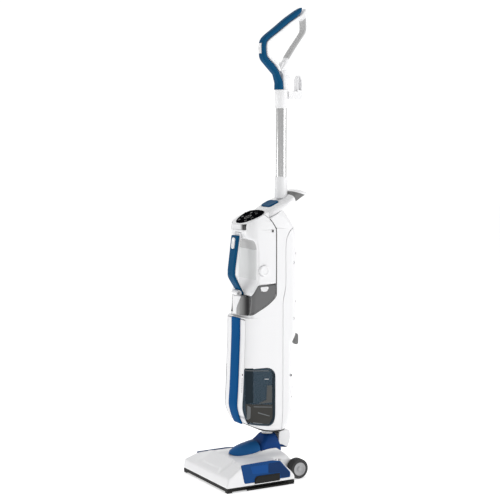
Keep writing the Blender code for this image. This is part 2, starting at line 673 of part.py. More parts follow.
def button_blank(name, half_x, half_s, low, high, colour="blue", centre=(BUTTON_Y, BUTTON_Z)):
    outline = fillet(((-half_x, -half_s), (half_x, -half_s), (half_x, half_s), (-half_x, half_s)), 0.010)
    return loft(name, [[on_slope(x, s, out, centre) for x, s in outline] for out in (low, high)], colour)


def panel(name, grow, low, high, colour):
    """The touch panel's egg shape, broad at its upper end."""
    half = ((0.0, -0.0315), (0.0125, -0.0302), (0.0235, -0.0245), (0.0335, -0.0130), (0.0405, 0.0020),
            (0.0418, 0.0155), (0.0345, 0.0270), (0.0185, 0.0335), (0.0, 0.0350))
    outline = grown(half + tuple((-x, s) for x, s in half[-2:0:-1]), grow)
    return loft(name, [[on_slope(x, s, out, DISPLAY) for x, s in outline] for out in (low, high)], colour)


def screw_bore(side):
    low, high = sorted((side * 0.050, side * 0.060))
    return disc("screw_bore", "X", (0, 0.0096, 0.6194), 0.0028, low, high, segments=12)


HOOK_SIDE = ((0.0845, 0.3720), (0.0870, 0.3710), (0.0962, 0.3600), (0.1120, 0.3510), (0.1137, 0.3470),
             (0.1137, 0.3280), (0.1110, 0.3243), (0.1065, 0.3245), (0.1030, 0.3290), (0.1020, 0.3420),
             (0.0940, 0.3480), (0.0845, 0.3540))


def body_parts():
    base_plate()
    main_shell()
    rear_cover()
    deck()
    wing_insert()
    button_blank("release_button", 0.0250, 0.0150, -0.0028, 0.0016)
    stack("lower_stem", "Z", (0, TUBE_Y, 0), ((0.6963, TUBE_R + 0.0025), (STEM_TOP - 0.001, TUBE_R + 0.0018),
          (STEM_TOP, TUBE_R + 0.001)), segments=24)
    cut(bpy.data.objects["lower_stem"],
        disc("bore", "Z", (0, TUBE_Y, 0), TUBE_R + GAP, 0.6985, 0.80, segments=24))
    prism("lower_cord_hook", HOOK_SIDE, -0.011, 0.011, "grey_plastic")
    stack("suction_motor", "Z", (0, MAIN_MOTOR_Y, 0), ((0.4193, 0.010), (0.4193, 0.0275), (0.4420, 0.0275),
          (0.4440, 0.0230), (0.4900, 0.0230), (0.4920, 0.0150), (0.4990, 0.0150)), "steel", 24)
    box("water_pump", (-0.0400, 0.0415, 0.1350), (-0.0140, 0.0560, 0.1750), "steel")
    turned("recovery_duct", ((0.1345, 0.0090), (0.3600, 0.0090), (0.3600, 0.0108), (0.1345, 0.0108)), "Z",
           (0.0, 0.0310, 0), "grey_plastic", 18)
    stack("cord_gland", "Y", (0.025, 0, 0.220), ((0.0640, 0.0065), (0.0737, 0.0065), (0.0737, 0.0095),
          (0.0765, 0.0095), (0.0840, 0.0060)), "black_plastic", 16)


# ---------------------------------------------------------------- waste tank module
def fascia():
    plate = envelope("tank_fascia")
    common(plate, prism("fascia_region", ((-0.2, 0.05), (-0.0330, 0.05), (-0.0330, 0.4032), (-0.2, 0.4032)),
                        -FASCIA_HALF_W, FASCIA_HALF_W))
    cut(plate, below_floor())
    cut(plate, envelope("inside", 0.0030))
    return plate


def waste_tank():
    tank = envelope("waste_tank")
    tank.data.materials[0] = finish("smoke_blue")
    common(tank, region("window", WINDOW))
    cut(tank, below_floor())
    skin = prism("skin", ((-0.2, 0.05), (-0.0200, 0.05), (-0.0200, 0.30), (-0.2, 0.30)),
                 -FASCIA_HALF_W - GAP, FASCIA_HALF_W + GAP)
    cut(skin, envelope("inside", 0.0033))
    cut(tank, skin)
    hollow = envelope("hollow", 0.0058)
    common(hollow, region("hollow_region", ((-0.090, 0.1490), (-0.0200, 0.1430), (0.0035, 0.1405),
                                            (0.0105, 0.1460), (0.0138, 0.1560), (0.0138, 0.2980),
                                            (-0.090, 0.2980))))
    cut(tank, hollow)
    return tank


def waste_module():
    fascia()
    front_bar()
    waste_tank()
    lid = envelope("tank_lid", 0.0034)
    lid.data.materials[0] = finish("grey_plastic")
    common(lid, prism("lid_region", ((-0.2, 0.2823), (0.0150, 0.2823), (0.0150, 0.2870), (-0.2, 0.2870)),
                      -0.0436, 0.0436))
    stack("tank_filter", "Z", (0, -0.0230, 0), ((0.2873, 0.0240), (0.3000, 0.0240), (0.3000, 0.0200),
          (0.3900, 0.0200)), "foam", 24)


def front_bar():
    """The blue grip strip that follows the fascia, 4 mm proud of it."""
    rings = []
    for z, front, *rest in BODY[1:9]:
        skin = front - GAP
        for_z = min(z, 0.4055)
        rings.append([(x, skin - proud, for_z) for x, proud in (
            (-BAR_HALF_W, 0), (-BAR_HALF_W, 0.0030), (-BAR_HALF_W + 0.003, 0.0042),
            (BAR_HALF_W - 0.003, 0.0042), (BAR_HALF_W, 0.0030), (BAR_HALF_W, 0))])
    return loft("front_bar", rings, "blue")


# ---------------------------------------------------------------- hand unit
DISPLAY = (-0.0270, 0.6522)


def unit_shell():
    shell = envelope("unit_shell")
    rise = [(y, z) for y, z in reversed(SEAM[1:5])]
    common(shell, region("unit_region", [(-0.2, 0.4600), (-0.0478, 0.4600), (-0.0310, 0.4863),
                                         (UNIT_REAR, 0.4863)] + rise + [(0.0040, 0.6665), (-0.0600, 0.6365),
                                                                        (-0.2, 0.5715)]))
    hollow = envelope("hollow", WALL)
    common(hollow, region("hollow_region", ((-0.0280, 0.4700), (0.0160, 0.4700), (0.0160, 0.6040),
                                            (0.0150, 0.6260), (0.0100, 0.6380), (0.0010, 0.6480),
                                            (0.0, 0.6600), (-0.0600, 0.6320), (-0.2, 0.5670), (-0.2, 0.6100),
                                            (-0.0280, 0.6100))))
    cut(shell, hollow)
    cut(shell, panel("display_pocket", GAP, -0.0012, 0.02, "white_gloss"))
    cut(shell, prism("latch_pocket", ((-0.0700, 0.6150), (-0.0460, 0.6252), (-0.0460, 0.6395),
                                      (-0.0700, 0.6275)), -0.0368, 0.0368))
    cut(shell, box("frame_pocket", (-0.0153, -0.0640, 0.5900), (0.0153, -0.0497, 0.6150)))
    cut(shell, disc("knob_bore", "X", (0, -0.0160, 0.5230), 0.0134, 0.045, 0.065, segments=24))
    cut(shell, screw_bore(1), screw_bore(-1))
    return shell


GRIP_OUT = ((-0.0490, 0.4600), (-0.0760, 0.5010), (-0.0790, 0.5180), (-0.0775, 0.5340), (-0.0680, 0.6080))
GRIP_MID = ((-0.0484, 0.4650), (-0.0705, 0.5060), (-0.0725, 0.5180), (-0.0712, 0.5320), (-0.0598, 0.6080))
GRIP_IN = ((-0.0484, 0.4700), (-0.0675, 0.5080), (-0.0690, 0.5180), (-0.0678, 0.5320), (-0.0565, 0.6080))


def grip_face(z):
    """Front of the grip's straight upper part at a height."""
    return -0.0680 - (0.6080 - z) * 0.128


def carry_handle():
    grip = prism("carry_grip", list(GRIP_MID) + list(reversed(GRIP_OUT)), -0.0150, 0.0150, "blue")
    depth = 0.0065
    cut(grip, prism("button_pocket", ((-0.09, 0.5750), (grip_face(0.5750) + depth, 0.5750),
                                      (grip_face(0.6030) + depth, 0.6030), (-0.09, 0.6030)),
                    -0.0075, 0.0075))
    frame = [(y + GAP, z) for y, z in GRIP_MID]
    prism("grip_frame", list(GRIP_IN) + [(-0.0500, 0.6100), (-0.0500, 0.6147), (-0.0595, 0.6147)]
          + list(reversed(frame)), -0.0150, 0.0150)
    button = fillet(((-0.0072, 0.5753), (0.0072, 0.5753), (0.0072, 0.6027), (-0.0072, 0.6027)), 0.006)
    rings = []
    for lift in (0.0035, -0.0014):
        rings.append([(x, grip_face(z) + lift, z) for x, z in button])
    loft("spray_button", rings)


def clean_tank():
    tank = envelope("clean_tank")
    tank.data.materials[0] = finish("smoke")
    floor = list(TANK_FLOOR)
    outline = [(UNIT_REAR, 0.4640), (UNIT_REAR, TANK_TOP), (-0.0306, TANK_TOP), (-0.0474, 0.4597),
               (-0.2, 0.4597), (-0.2, 0.4110)] + floor[::-1]
    common(tank, region("tank_region", outline))
    hollow = envelope("hollow", WALL)
    common(hollow, region("hollow_region", ((0.0160, 0.4660), (0.0160, 0.5000), (-0.0280, 0.5000),
                                            (-0.0280, 0.4840), (-0.0450, 0.4560), (-0.0450, 0.4190),
                                            (-0.0290, 0.4285), (-0.0050, 0.4415), (0.0125, 0.4560))))
    cut(tank, hollow)
    cut(tank, box("plug_bore", (0.0480, -0.0240, 0.4725), (0.0600, -0.0050, 0.4825)))
    return join(tank, keel())


def keel():
    """The rib on the tank's front: a narrow column that spreads towards its top."""
    rings = []
    for z, half, spread in ((0.4185, 0.0088, 0.0090), (0.4290, 0.0088, 0.0092), (0.4590, 0.0096, 0.0205)):
        root = -0.0516 + (z - 0.4075) * 0.0710
        rings.append([(-half, -0.0670, z), (half, -0.0670, z), (spread, root - 0.0015, z),
                      (spread, root + 0.0010, z), (-spread, root + 0.0010, z), (-spread, root - 0.0015, z)])
    return loft("keel", rings)


def unit_parts():
    unit_shell()
    panel("display_panel", 0.0, -0.0012 + GAP, 0.0010, "black_glass")
    box("control_board", (-0.0300, -0.0440, 0.6300), (0.0300, -0.0120, 0.6316), "board_green")
    prism("hood_latch", ((-0.0535, 0.6225), (-0.0490, 0.6244), (-0.0490, 0.6376), (-0.0535, 0.6353)),
          -0.0362, 0.0362, "black_plastic")
    for side, word in ((-1, "left"), (1, "right")):
        low, high = sorted((side * 0.0505, side * 0.0562))
        disc(f"side_screw_{word}", "X", (0, 0.0096, 0.6194), 0.0025, low, high, "black_plastic", 12)
    carry_handle()
    clean_tank()
    stack("tank_release_button", "X", (0, -0.0160, 0.5230), ((0.0500, 0.0131), (0.0610, 0.0131),
          (0.0622, 0.0115)), segments=24)
    plug = box("filler_plug", (0.0485, -0.0237, 0.4728), (0.0562, -0.0053, 0.4822))
    cap = prism("cap", ((-0.0260, 0.4790), (-0.0230, 0.4705), (-0.0060, 0.4705), (-0.0030, 0.4790),
                        (-0.0060, 0.4845), (-0.0230, 0.4845)), 0.0563 - GAP, 0.0580)
    join(plug, cap)


# ---------------------------------------------------------------- handle
def handle_parts():
    turned("chrome_tube", ((0.6990, TUBE_R - 0.0015), (0.9250, TUBE_R - 0.0015), (0.9250, TUBE_R),
                           (0.6990, TUBE_R)), "Z", (0, TUBE_Y, 0), "chrome", 24)
    loop = loop_frame()
    neck = stack("neck", "Z", (0, TUBE_Y, 0),
                 ((TUBE_TOP, TUBE_R + 0.0022), (GRIP_START - GAP, TUBE_R + 0.0022)), segments=24)
    cut(neck, disc("bore", "Z", (0, TUBE_Y, 0), TUBE_R + GAP, 0.90, 0.9255, segments=24))
    join(loop, neck, solver="MANIFOLD")
    loop_grip()
    box("power_switch", (-0.0060, 0.0042, 1.0520), (0.0060, 0.0088, 1.0770))
    hook = box("upper_cord_hook", (-0.0090, 0.0823, 0.9414), (0.0090, 0.1212, 0.9605))
    prong = prism("prong", ((0.1076, 0.9500), (0.1211, 0.9500), (0.1211, 0.9900), (0.1140, 1.0010),
                            (0.1076, 0.9900)), -0.0090, 0.0090)
    join(hook, prong)
    for low, high in ((-0.02, -0.0020), (0.0020, 0.02)):
        cut(hook, box("prong_pocket", (low, 0.1100, 0.9640), (high, 0.1187, 0.9885)))


def band(rings_of_pairs, near, far, half_w):
    """Sections between two shares of the way from the outer to the inner line of the loop."""
    rings = []
    chamfer = 0.3
    for outer, inner in rings_of_pairs:
        def at(share):
            return tuple(o + (i - o) * share for o, i in zip(outer, inner))
        ring = []
        for share, x in ((near, -half_w * (1 - chamfer)), (near, half_w * (1 - chamfer)),
                         (near + (far - near) * chamfer, half_w), (far - (far - near) * chamfer, half_w),
                         (far, half_w * (1 - chamfer)), (far, -half_w * (1 - chamfer)),
                         (far - (far - near) * chamfer, -half_w), (near + (far - near) * chamfer, -half_w)):
            ring.append((x, *at(share)))
        rings.append(ring)
    return rings


STEM_PAIRS = (((0.0505, 0.9830), (0.0800, 0.9830)), ((0.0500, 1.0050), (0.0790, 1.0130)))


def loop_frame():
    """The white ring of the handle, thin behind the grip and full at the rear leg."""
    share = GRIP_SHARE + 0.02
    front = band(LOOP_FRONT, share, 1.0, LOOP_HALF_W)
    rear = band(LOOP_REAR, 0.0, 1.0, LOOP_HALF_W)
    ring = loft("handle_loop", front + rear, closed=True)
    foot = (((0.0503, GRIP_START - 0.0020), (0.0817, GRIP_START - 0.0020)),)
    stem = loft("stem_back", band(foot + STEM_PAIRS, 0.56, 1.0, LOOP_HALF_W + 0.001))
    tie = prism("crotch", ((0.0690, 0.9950), (0.0770, 0.9950), (0.0790, 1.0250), (0.0660, 1.0330),
                           (0.0580, 1.0150)), -LOOP_HALF_W * 0.9, LOOP_HALF_W * 0.9)
    return join(ring, tie, stem, solver="MANIFOLD")


def loop_grip():
    foot = (((0.0503, GRIP_START), (0.0817, GRIP_START)),)
    front = band(foot + STEM_PAIRS[:1], 0.0, 0.54, LOOP_HALF_W + 0.001)
    grip = loft("loop_grip", front + band(LOOP_FRONT, 0.0, GRIP_SHARE, LOOP_HALF_W), "blue")
    cut(grip, box("switch_pocket", (-0.0063, 0.0, 1.0517), (0.0063, 0.0115, 1.0773)))
    return grip


def place_on_axis(name, point):
    """Moves an object's origin to a point on its joint's axis without moving its shape."""
    item = bpy.data.objects[name]
    x, y, z = point
    for vertex in item.data.vertices:
        vertex.co.x -= x
        vertex.co.y -= y
        vertex.co.z -= z
    item.location = point


AXES = {
    "brush_roller": (0, ROLLER_Y, ROLLER_Z), "roller_pulley": (0, ROLLER_Y, ROLLER_Z),
    "motor_pulley": (0, MOTOR_Y, MOTOR_Z), "roller_latch": (0.1190, 0, 0.0155),
    "tyre_left": (0, WHEEL_Y, WHEEL_R), "tyre_right": (0, WHEEL_Y, WHEEL_R),
    "wheel_hub_left": (0, WHEEL_Y, WHEEL_R), "wheel_hub_right": (0, WHEEL_Y, WHEEL_R),
    "tilt_drum": (0, TILT_Y, TILT_Z), "main_shell": (0, SWIVEL_Y, 0.120),
    "upper_cord_hook": (0, 0.0823, 0.9510),
}


def main():
    clear_scene()
    head_parts()
    wheels()
    neck_parts()
    body_parts()
    waste_module()
    unit_parts()
    handle_parts()
    for name, point in AXES.items():
        place_on_axis(name, point)
    for item in bpy.data.objects:
        item.location.y += DATUM_Y
        item.data.shade_smooth()
        item.data.set_sharp_from_angle(angle=math.radians(35))


main()
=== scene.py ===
"""Looks for the upright wet and dry floor scrubber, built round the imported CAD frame."""
import json
import math

import bmesh
import bpy
import numpy as np
from mathutils import Matrix, Vector


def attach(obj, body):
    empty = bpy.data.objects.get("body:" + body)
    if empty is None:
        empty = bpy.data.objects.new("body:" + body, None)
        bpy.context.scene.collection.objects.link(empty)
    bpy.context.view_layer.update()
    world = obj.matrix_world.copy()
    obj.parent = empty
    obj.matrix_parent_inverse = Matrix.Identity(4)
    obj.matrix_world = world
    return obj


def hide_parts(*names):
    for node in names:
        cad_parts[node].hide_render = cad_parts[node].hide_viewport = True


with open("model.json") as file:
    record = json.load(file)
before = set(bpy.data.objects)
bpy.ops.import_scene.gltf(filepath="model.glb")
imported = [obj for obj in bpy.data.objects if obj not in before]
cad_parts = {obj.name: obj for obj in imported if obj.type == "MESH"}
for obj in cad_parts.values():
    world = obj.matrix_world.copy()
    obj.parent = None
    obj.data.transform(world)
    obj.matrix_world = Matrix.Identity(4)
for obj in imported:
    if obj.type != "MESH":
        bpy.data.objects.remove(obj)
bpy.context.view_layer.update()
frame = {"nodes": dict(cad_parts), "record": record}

DATUM_Y = 0.006            # the layout datum used below lies this far behind y = 0
CLEAR = 0.0004             # clearance between neighbouring pieces
SIDES = ((-1, "left"), (1, "right"))


def mm(lengths):
    """Lengths written in millimetres, nested in any way, as metres."""
    if isinstance(lengths, tuple):
        return tuple(mm(length) for length in lengths)
    return round(lengths / 1000, 7)


def span(side, near, far):
    """Two distances from the middle as x limits on one side, the lower one first."""
    return sorted((side * near, side * far))


# ---------------------------------------------------------------- materials
def new_node(tree, kind, links=(), values=(), **settings):
    """A shader node with its settings, its constant sockets and the sockets that feed it."""
    item = tree.nodes.new("ShaderNode" + kind)
    for name, value in settings.items():
        setattr(item, name, value)
    for socket, value in values:
        item.inputs[socket].default_value = value
    for socket, source in links:
        tree.links.new(source, item.inputs[socket])
    return item.outputs


def plastic(name, colour, rough=0.25, speckle=0.04, grain=900.0, bump=0.05, coat=0.0, tone=0.05,
        metallic=0.0, alpha=1.0, specular=0.5):
    """A moulded surface: slow shade changes, fine texture in gloss and relief."""
    material = bpy.data.materials.new(name)
    material.use_nodes = True
    tree = material.node_tree
    shader = tree.nodes["Principled BSDF"]
    where = new_node(tree, "TexCoord")["Object"]
    slow = new_node(tree, "TexNoise", [("Vector", where)], [("Scale", 9.0), ("Detail", 3.0)])
    ramp = new_node(tree, "MapRange", [("Value", slow["Fac"])], [("To Min", 1.0 - tone),
        ("To Max", 1.0 + tone * 0.4)])
    shade = new_node(tree, "VectorMath", [("Scale", ramp["Result"])], [(0, colour)], operation="SCALE")
    fine = new_node(tree, "TexNoise", [("Vector", where)], [("Scale", grain), ("Detail", 2.0)])
    gloss = new_node(tree, "MapRange", [("Value", fine["Fac"])], [("To Min", max(rough - speckle, 0.02)),
        ("To Max", rough + speckle)])
    relief = new_node(tree, "Bump", [("Height", fine["Fac"])], [("Strength", bump), ("Distance", 0.0004)])
    for socket, source in (("Base Color", shade["Vector"]), ("Roughness", gloss["Result"]),
            ("Normal", relief["Normal"])):
        tree.links.new(source, shader.inputs[socket])
    for socket, value in (("Metallic", metallic), ("Coat Weight", coat), ("Coat Roughness", 0.06),
            ("Specular IOR Level", specular), ("Alpha", alpha)):
        shader.inputs[socket].default_value = value
    return material


M = {
    "white": plastic("white_gloss_plastic", (0.87, 0.87, 0.88), 0.32, 0.05, tone=0.015, coat=0.1,
        specular=0.35),
    "blue": plastic("blue_satin_plastic", (0.0055, 0.074, 0.175), 0.42, 0.06, bump=0.1, tone=0.1,
        specular=0.03),
    "blue_bar": plastic("blue_bar_plastic", (0.005, 0.082, 0.25), 0.42, 0.06, bump=0.08, tone=0.1,
        specular=0.01),
    "blue_head": plastic("blue_head_plastic", (0.01, 0.056, 0.225), 0.38, 0.06, bump=0.08, tone=0.12,
        specular=0.06),
    "black": plastic("black_plastic", (0.012, 0.012, 0.011), 0.52, 0.08, bump=0.2, tone=0.2,
        specular=0.2),
    "glass": plastic("black_touch_panel", (0.003, 0.003, 0.004), 0.3, 0.03, bump=0.01, specular=0.0),
    # the latch's light grey, blended further down into near black: painted shade
    "latch": plastic("two_tone_latch", (0.84, 0.84, 0.85), 0.3, 0.04, bump=0.02, tone=0.04, specular=0.2),
    "icon": plastic("panel_icons", (0.1, 0.1, 0.1), 0.3, 0.03, bump=0.01),
    "grey": plastic("grey_plastic", (0.155, 0.155, 0.155), 0.5, 0.07, bump=0.15, tone=0.1),
    "rubber": plastic("black_rubber", (0.022, 0.022, 0.022), 0.75, 0.08, grain=500, bump=0.35, tone=0.2),
    "tyre": plastic("tyre_rubber", (0.03, 0.03, 0.031), 0.68, 0.08, grain=500, bump=0.3, tone=0.2),
    "tongue": plastic("blue_tongue_plastic", (0.016, 0.11, 0.31), 0.38, 0.06, bump=0.08, tone=0.12,
        specular=0.06),
    "hub": plastic("light_grey_hub", (0.43, 0.43, 0.44), 0.34, 0.05, tone=0.06),
    "smoke": plastic("smoke_tank", (0.165, 0.165, 0.168), 0.14, 0.03, bump=0.01, alpha=0.93,
        specular=0.25),
    # grey for a painted sheen on the tank's front, blended further down into painted shade at the corners
    "front_sheen_and_shade": plastic("smoke_tank_front", (0.25, 0.25, 0.25), 0.16, 0.03, bump=0.01, specular=0.25),
    "slate": plastic("slate_tank", (0.04, 0.07, 0.098), 0.14, 0.03, bump=0.01, alpha=0.7, specular=0.2),
    "chrome": plastic("chrome", (0.72, 0.72, 0.72), 0.2, 0.03, metallic=1.0, bump=0.01, tone=0.03),
    "steel": plastic("machined_steel", (0.45, 0.45, 0.46), 0.32, 0.08, metallic=1.0, bump=0.1),
    "pile": plastic("roller_pile", (0.1, 0.28, 0.5), 0.9, 0.05, grain=1400, bump=0.9, tone=0.3),
    "foam": plastic("filter_foam", (0.74, 0.73, 0.68), 0.9, 0.05, grain=1100, bump=0.9, tone=0.15),
    "board": plastic("circuit_board", (0.015, 0.14, 0.05), 0.45, 0.08, tone=0.2),
    "seam": plastic("seam_seal", (0.1, 0.1, 0.1), 0.7, 0.05, bump=0.1),
    # pale grey: painted shade in the grip recess; mid grey: painted shadow under the hood, and the printed
    # level marks
    "pale": plastic("pale_grey_plastic", (0.73, 0.74, 0.74), 0.4, 0.05, tone=0.03, specular=0.3),
    "mid": plastic("mid_grey_plastic", (0.5, 0.5, 0.5), 0.45, 0.05, tone=0.04, specular=0.2),
    # grey: painted shade on the handle ring's rear leg
    "loop": plastic("handle_grey_plastic", (0.46, 0.46, 0.46), 0.45, 0.05, tone=0.04, specular=0.15),
    # lighter blue: painted highlight on the raised side plates
    "relief": plastic("blue_side_relief", (0.013, 0.078, 0.28), 0.4, 0.06, bump=0.08, tone=0.1,
        specular=0.05),
    "float": plastic("tank_float_grey", (0.085, 0.088, 0.086), 0.3, 0.04, bump=0.02, specular=0.1,
        tone=0.15),
    "panel": plastic("blue_side_panel", (0.009, 0.062, 0.215), 0.4, 0.06, bump=0.08, tone=0.12,
        specular=0.1),
    # darker blue: painted shade on the side panels and under the neck's rear cover
    "panel_dark": plastic("blue_side_dark", (0.007, 0.034, 0.12), 0.4, 0.06, bump=0.08, tone=0.15,
        specular=0.1),
    "well": plastic("tank_well_slate", (0.012, 0.022, 0.03), 0.25, 0.04, bump=0.02, specular=0.1,
        tone=0.15),
    "warm": plastic("tank_float_warm_grey", (0.052, 0.051, 0.047), 0.25, 0.04, bump=0.02, specular=0.1,
        tone=0.3),
    "ledge": plastic("tank_ledge_grey", (0.15, 0.16, 0.165), 0.3, 0.04, bump=0.02, specular=0.2,
        tone=0.15),
}


def graded(key, colour, start, end, mirrored=False):
    """Blends a material's colour into another one across the object's width."""
    tree = M[key].node_tree
    shade = next(node for node in tree.nodes if node.bl_idname == "ShaderNodeVectorMath")
    where = next(node for node in tree.nodes if node.bl_idname == "ShaderNodeTexCoord")
    across = new_node(tree, "SeparateXYZ", [("Vector", where.outputs["Object"])])["X"]
    if mirrored:
        across = new_node(tree, "Math", [(0, across)], operation="ABSOLUTE")["Value"]
    share = new_node(tree, "MapRange", [("Value", across)], [("From Min", start), ("From Max", end)],
        interpolation_type="SMOOTHSTEP")["Result"]
    blend = tree.nodes.new("ShaderNodeMix")
    blend.data_type = "VECTOR"
    for socket in blend.inputs:
        if socket.type == "VECTOR" and socket.name == "A":
            socket.default_value = tuple(shade.inputs[0].default_value)
        if socket.type == "VECTOR" and socket.name == "B":
            socket.default_value = colour
    tree.links.new(share, blend.inputs["Factor"])
    tree.links.new(next(o for o in blend.outputs if o.type == "VECTOR"), shade.inputs[0])


# painted light on the tank's smoke front: a painted sheen in lighter grey across the middle, fading into
# painted shade, near black, towards both corners
graded("front_sheen_and_shade", (0.01, 0.01, 0.011), 0.02, 0.038, True)
# painted shade on the hood latch: light grey at its left end, darkening to near black towards its right
# end, as the pocket under the display would be shaded
graded("latch", (0.02, 0.02, 0.02), 0.008, 0.026)
SLOT_MATERIAL = {"white_gloss": "white", "blue": "blue", "blue_head": "blue_head",
    "black_plastic": "black", "black_glass": "glass", "grey_plastic": "grey", "rubber": "rubber",
    "tyre": "tyre", "hub_grey": "hub", "smoke": "smoke", "smoke_blue": "slate", "chrome": "chrome",
    "steel": "steel", "bristle": "pile", "foam": "foam", "board_green": "board",}
SLOTS = {row["node"]: row["material_slot"] for row in frame["record"]["subparts"]}
for node_name, slot_name in SLOTS.items():
    materials = frame["nodes"][node_name].data.materials
    materials.clear()
    materials.append(M["white" if node_name == "cord_gland" else SLOT_MATERIAL[slot_name]])


# ---------------------------------------------------------------- mesh tools
def mesh_object(name, verts, faces):
    """A mesh in the scene with its faces turned outwards."""
    mesh = bpy.data.meshes.new(name)
    mesh.from_pydata([tuple(map(float, v)) for v in verts], [], faces)
    mesh.update()
    item = bpy.data.objects.new(name, mesh)
    bpy.context.scene.collection.objects.link(item)
    shape = bmesh.new()
    shape.from_mesh(mesh)
    if shape.calc_volume(signed=True) < 0:
        bmesh.ops.reverse_faces(shape, faces=shape.faces)
        shape.to_mesh(mesh)
    shape.free()
    return item


def loft(name, rings, closed=False):
    """A skin over rings of equal length, capped at its ends unless it closes on itself."""
    size, count = len(rings[0]), len(rings)
    faces = []
    for row in range(count if closed else count - 1):
        low, high = row * size, (row + 1) % count * size
        for k in range(size):
            after = (k + 1) % size
            faces.append((low + k, low + after, high + after, high + k))
    if not closed:
        faces.append(tuple(reversed(range(size))))
        faces.append(tuple(range((count - 1) * size, count * size)))
    return mesh_object(name, [point for ring in rings for point in ring], faces)


def prism(name, outline, x_low, x_high):
    """A side outline carried from one x to another."""
    return loft(name, [[(x, y, z) for y, z in outline] for x in (x_low, x_high)])


def box(name, low, high):
    """A block between two opposite corners."""
    (x0, y0, z0), (x1, y1, z1) = low, high
    return prism(name, ((y0, z0), (y1, z0), (y1, z1), (y0, z1)), x0, x1)


def round_points(axis, centre, a, r, angle):
    """The point at a distance a along an axis and r away from it."""
    c, s = r * math.cos(angle), r * math.sin(angle)
    spot = {"X": (a, c, s), "Y": (s, a, c), "Z": (c, s, a)}[axis]
    return tuple(p + q for p, q in zip(spot, centre))


def turned(name, profile, axis, centre, segments=48, closed=True):
    """A (distance, radius) outline spun about an axis: closed outlines make rings, open ones bars."""
    angles = [2 * math.pi * k / segments for k in range(segments)]
    if closed:
        return loft(name, [[round_points(axis, centre, a, r, t) for a, r in profile] for t in angles],
            True)
    return loft(name, [[round_points(axis, centre, a, r, t) for t in angles] for a, r in profile])


def circle(radius, steps, centre=(0.0, 0.0)):
    """Points of a circle in a plane."""
    angles = [2 * math.pi * k / steps for k in range(steps)]
    return [(centre[0] + radius * math.cos(a), centre[1] + radius * math.sin(a)) for a in angles]


def disc(name, axis, centre, radius, low, high, segments=48):
    """A solid round bar."""
    return turned(name, ((low, radius), (high, radius)), axis, centre, segments, closed=False)


def apply_modifiers(item):
    """Swaps the mesh for what its modifiers make of it."""
    graph = bpy.context.evaluated_depsgraph_get()
    mesh = bpy.data.meshes.new_from_object(item.evaluated_get(graph))
    item.modifiers.clear()
    item.data = mesh
    return item


def combine(item, tool, operation):
    """A Boolean step that uses up its tool."""
    step = item.modifiers.new("join", "BOOLEAN")
    step.object, step.operation, step.solver = tool, operation, "MANIFOLD"
    apply_modifiers(item)
    bpy.data.objects.remove(tool, do_unlink=True)
    if not item.data.vertices:
        raise RuntimeError("nothing left of " + item.name)
    return item


def cut(item, *tools):
    for tool in tools:
        combine(item, tool, "DIFFERENCE")
    return item


def join(item, *tools):
    for tool in tools:
        combine(item, tool, "UNION")
    return item


def common(item, tool):
    return combine(item, tool, "INTERSECT")


def fillet(outline, radius, steps=5):
    """Rounds every corner of a closed outline by up to the given radius."""
    result = []
    for k, here in enumerate(outline):
        before, after = outline[k - 1], outline[(k + 1) % len(outline)]

        def towards(other):
            length = math.dist(here, other)
            reach = min(radius, 0.45 * length) / length
            return tuple(h + (o - h) * reach for h, o in zip(here, other))
        start, end = towards(before), towards(after)
        for n in range(steps + 1):
            t = n / steps
            result.append(tuple((1 - t) ** 2 * a + 2 * t * (1 - t) * b + t * t * c
                for a, b, c in zip(start, here, end)))
    return result


def curve_through(points, per=6, closed=False):
    """More points on a smooth curve through the given ones."""
    count, result = len(points), []

    def point(k):
        return points[k % count] if closed else points[min(max(k, 0), count - 1)]
    for k in range(count if closed else count - 1):
        p = [point(k + j) for j in (-1, 0, 1, 2)]
        for n in range(per):
            t = n / per
            result.append(tuple(0.5 * (2 * b + (c - a) * t + (2 * a - 5 * b + 4 * c - d) * t * t
                + (3 * b - a - 3 * c + d) * t ** 3) for a, b, c, d in zip(*p)))
    if not closed:
        result.append(tuple(points[-1]))
    return result


def monotone(xs, ys):
    """A smooth function through stations that never overshoots them."""
    h = np.diff(xs)
    d = np.diff(ys) / h
    m = np.zeros(len(xs))
    m[0], m[-1] = d[0], d[-1]
    for k in range(1, len(xs) - 1):
        if d[k - 1] * d[k] > 0:
            w1, w2 = 2 * h[k] + h[k - 1], h[k] + 2 * h[k - 1]
            m[k] = (w1 + w2) / (w1 / d[k - 1] + w2 / d[k])

    def value(x):
        k = min(max(int(np.searchsorted(xs, x)) - 1, 0), len(h) - 1)
        t = (x - xs[k]) / h[k]
        near = (1 + 2 * t) * (1 - t) ** 2 * ys[k] + t * (1 - t) ** 2 * h[k] * m[k]
        return float(near + t * t * (3 - 2 * t) * ys[k + 1] + t * t * (t - 1) * h[k] * m[k + 1])
    return value


def soften(item, voxel, rounds):
    """Melts the joints between united shapes into moulded fillets."""
    melt = item.modifiers.new("melt", "REMESH")
    melt.mode, melt.voxel_size = "VOXEL", voxel
    calm = item.modifiers.new("calm", "SMOOTH")
    calm.factor, calm.iterations = 0.5, rounds
    return apply_modifiers(item)


